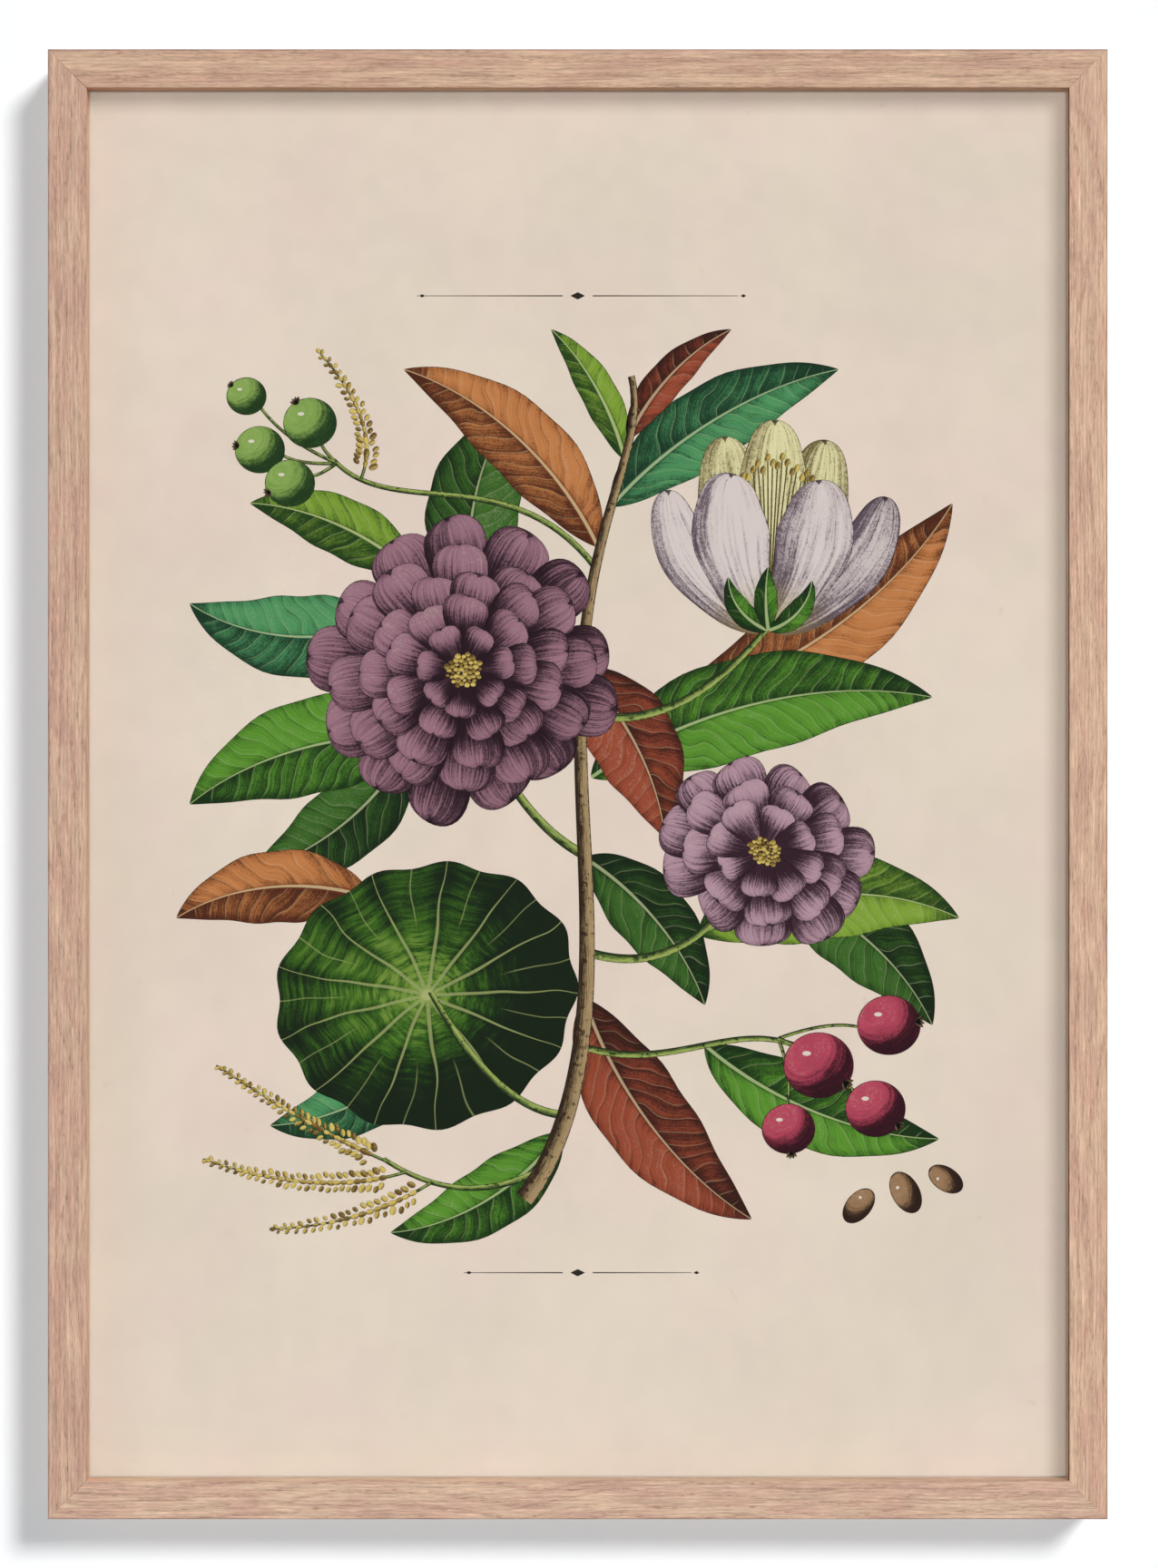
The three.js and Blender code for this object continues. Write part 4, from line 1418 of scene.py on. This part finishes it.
def stamped_tab():
    """A tab with its place at the origin: X along the rail, Z outwards, its front on Y = 0."""
    low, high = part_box("tab_top_1")
    width, thickness, length = high - low
    tab = block("spring_tab", (-width / 2, 0, -length), (width / 2, thickness, 0))
    edit(tab)
    for end, cut in ((0, TAB_POINT), (-length, TAB_CORNER)):
        for edge in bmesh.from_edit_mesh(tab.data).edges:
            ends = [vertex.co for vertex in edge.verts]
            upright = abs(ends[0].y - ends[1].y) > thickness / 2
            edge.select_set(upright and all(abs(p.z - end) < SAME for p in ends))
        bpy.ops.mesh.bevel(offset=cut, segments=1 if end == 0 else 4, affect="EDGES", offset_type="OFFSET")
        bpy.ops.mesh.select_all(action="DESELECT")
    # The curl bends at each quarter of its length, more at each one nearer the tip.
    for share in (0.25, 0.5, 0.75, 1.0):
        bpy.ops.mesh.select_all(action="SELECT")
        bpy.ops.mesh.bisect(plane_co=(0, 0, -length + TAB_CURL * share), plane_no=(0, 0, 1))
    bends = (0.75, 0.5, 0.25, 0.0)
    for share in bends:
        bend = TAB_CURL * share - length
        pick(tab, "VERT", lambda p: p.z < bend + SAME)
        lift = TAB_LIFT * (1 - share) / sum(1 - each for each in bends)
        bpy.ops.transform.translate(value=(0, lift, 0))
    done()
    groove = block(
        "groove",
        (-GROOVE_WIDTH / 2, thickness - GROOVE_DEPTH, GROOVE_FROM_TIP - length),
        (GROOVE_WIDTH / 2, thickness + MM, -length * GROOVE_FROM_POINT),
    )
    soften(groove, GROOVE_WIDTH * 0.3, 3)
    cut_away(tab, [groove])
    soften(tab, TAB_EDGE)
    smooth(tab)
    return tab


def copy_to(model, name, place, turn):
    """A copy of a piece with its own mesh, turned about Y and put at its place."""
    made = model.copy()
    made.data = model.data.copy()
    bpy.context.scene.collection.objects.link(made)
    select_only(made)
    made.matrix_world = Matrix.Translation(place) @ Matrix.Rotation(turn, 4, "Y")
    return name_piece(name)


zinc = plated_metal("zinc_plated_steel", (0.56, 0.57, 0.585), (0.40, 0.405, 0.41))
model = stamped_tab()
for turns, side in enumerate(SIDES):
    along, outward, half_length, reach = SIDES[side]
    for node in [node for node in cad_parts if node.startswith(f"tab_{side}")]:
        low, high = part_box(node)
        middle = (low + high) / 2
        size = high - low
        half = abs(size.dot(outward)) / 2
        place = Vector((middle.x, low.y, middle.z)) + outward * half
        tab = copy_to(model, f"spring_{node}", place, turns * math.pi / 2)
        tab.data.materials.append(zinc)
        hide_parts(node)
        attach(tab, "root")
bpy.data.objects.remove(model)

# ---- V nails ----
# A V of bright steel strip across each mitre, driven in from behind and set just below the wood, where it
# draws the joint tight.

bright = plated_metal("bright_steel", (0.50, 0.505, 0.52), (0.30, 0.295, 0.29))
for corner in CORNERS:
    repaint(f"v_nail_{corner}", bright)

# ---- sawtooth hanger ----
# A strip of brass-plated steel with nine notches along its lower edge. Its two feet lie on the top rail,
# the bridge between them stands off it for the hook, and a round-headed pin goes through each foot.

HANGER_FOOT = 7.5 * MM
HANGER_RAMP = 1.5 * MM
HANGER_LIFT = 1.4 * MM
HANGER_SHEET = 0.9 * MM
HANGER_ROUND = 2.4 * MM
HANGER_EDGE = 0.11 * MM
NOTCHES = 9
NOTCH_PITCH, NOTCH_DEPTH = 2.4 * MM, 1.2 * MM
PIN_HOLE = 0.9 * MM
PIN_HOLE_DEPTH = 6 * MM  # of its cutter, through the plate
PIN_HEAD = 1.5 * MM
PIN_HEAD_HEIGHT = 0.5 * MM
PIN_POINT = 1.2 * MM
PIN_TIP = 0.06 * MM
DOME_STEPS = 6
DOME_END = 0.97  # of a quarter turn, just short of the top


def sawtooth_hanger():
    """The plate, cut from strip, with its teeth, its raised bridge and a hole in each foot."""
    low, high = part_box("hanger_plate")
    middle = (low + high) / 2
    end = high.x - middle.x
    plate = block("sawtooth_hanger", low, (high.x, low.y + HANGER_SHEET, high.z))
    edit(plate)
    for edge in bmesh.from_edit_mesh(plate.data).edges:
        ends = [vertex.co for vertex in edge.verts]
        edge.select_set(abs(ends[0].y - ends[1].y) > HANGER_SHEET / 2)
    bpy.ops.mesh.bevel(offset=HANGER_ROUND, segments=7, affect="EDGES")
    foot = end - HANGER_FOOT
    bridge = foot - HANGER_RAMP
    reach = NOTCHES / 2 * NOTCH_PITCH
    teeth = [step / 2 * NOTCH_PITCH - reach for step in range(2 * NOTCHES + 1)]
    for x in (-foot, -bridge, *teeth, bridge, foot):
        bpy.ops.mesh.select_all(action="SELECT")
        bpy.ops.mesh.bisect(plane_co=(middle.x + x, 0, 0), plane_no=(1, 0, 0))
    tops = [middle.x + x for x in teeth[1::2]]
    pick(plate, "VERT", lambda p: p.z < middle.z and any(abs(p.x - x) < SAME for x in tops))
    bpy.ops.transform.translate(value=(0, 0, NOTCH_DEPTH))
    pick(plate, "VERT", lambda p: abs(p.x - middle.x) < bridge + SAME)
    bpy.ops.transform.translate(value=(0, HANGER_LIFT, 0))
    done()

    cutters = []
    for node in ("hanger_pin_left", "hanger_pin_right"):
        pin_low, pin_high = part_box(node)
        x = (pin_low.x + pin_high.x) / 2
        cutters.append(round_cutter((x, low.y, middle.z), PIN_HOLE, PIN_HOLE_DEPTH))
    cut_away(plate, cutters)
    soften(plate, HANGER_EDGE)
    smooth(plate)
    return plate


def turned(name, x, z, rings, vertices=32):
    """A round piece about an axis along Y: a disc drawn out ring by ring, each a (radius, y)."""
    deselect_all()
    radius, y = rings[0]
    bpy.ops.mesh.primitive_circle_add(
        vertices=vertices, radius=radius, fill_type="NGON", location=(x, y, z), rotation=(math.pi / 2, 0, 0)
    )
    made = name_piece(name)
    edit(made)
    bpy.ops.mesh.select_all(action="SELECT")
    for next_radius, next_y in rings[1:]:
        bpy.ops.mesh.extrude_region_move(TRANSFORM_OT_translate={"value": (0, next_y - y, 0)})
        share = next_radius / radius
        bpy.ops.transform.resize(value=(share, 1, share), center_override=(x, next_y, z))
        radius, y = next_radius, next_y
    bpy.ops.mesh.select_all(action="SELECT")
    bpy.ops.mesh.normals_make_consistent(inside=False)
    done()
    smooth(made)
    return made


hanger = sawtooth_hanger()
hanger.data.materials.append(plated_metal("brass_plating", (0.62, 0.44, 0.17), (0.40, 0.26, 0.10)))
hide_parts("hanger_plate")
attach(hanger, "root")

for side in ("left", "right"):
    low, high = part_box(f"hanger_pin_{side}")
    head = high.y - PIN_HEAD_HEIGHT
    rings = [
        (PIN_TIP, low.y),
        (PIN_RADIUS, low.y + PIN_POINT),
        (PIN_RADIUS, head),
        (PIN_HEAD, head),
    ]
    for step in range(1, DOME_STEPS + 1):
        angle = step / DOME_STEPS * math.pi / 2 * DOME_END
        rings.append((PIN_HEAD * math.cos(angle), head + PIN_HEAD_HEIGHT * math.sin(angle)))
    rings.append((rings[-1][0] * 0.5, high.y))
    pin = turned(f"round_head_pin_{side}", (low.x + high.x) / 2, (low.z + high.z) / 2, rings)
    pin.data.materials.append(bright)
    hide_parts(f"hanger_pin_{side}")
    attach(pin, "root")

# ---- wall pads ----
# Two soft moulded rubber bumpers, stuck on behind the lower corners. Each is domed, with a flat that
# rests on the wall.

PAD_FLAT = 2.4 * MM
PAD_STEPS = 8


def pad_rubber():
    """Black rubber with a fine grain and a little dust."""
    made, tree, output = empty_material("pad_rubber")
    place = place_in_mm(tree)
    dust = rise(tree, noise(tree, place, 1.6, 4.0, 0.65), 0.45, 0.72)
    grain = noise(tree, place, 6.0, 2.0, 0.5)
    colour = blend(tree, product(tree, dust, 0.4), (0.028, 0.027, 0.026), (0.16, 0.15, 0.14))
    roughness = total(tree, product(tree, dust, 0.25), 0.55)
    inputs = {"Base Color": colour, "Roughness": roughness}
    coat(tree, output, inputs, grain, strength=0.25, deep=0.04)
    return made


rubber = pad_rubber()
for side in ("left", "right"):
    low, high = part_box(f"wall_pad_{side}")
    radius = (high.x - low.x) / 2
    rings = []
    for step in range(PAD_STEPS + 1):
        angle = step / PAD_STEPS * math.pi / 2
        out = PAD_FLAT + (radius - PAD_FLAT) * math.cos(angle)
        rings.append((out, low.y + (high.y - low.y) * math.sin(angle)))
    pad = turned(f"rubber_pad_{side}", (low.x + high.x) / 2, (low.z + high.z) / 2, rings, 40)
    pad.data.materials.append(rubber)
    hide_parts(f"wall_pad_{side}")
    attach(pad, "root")
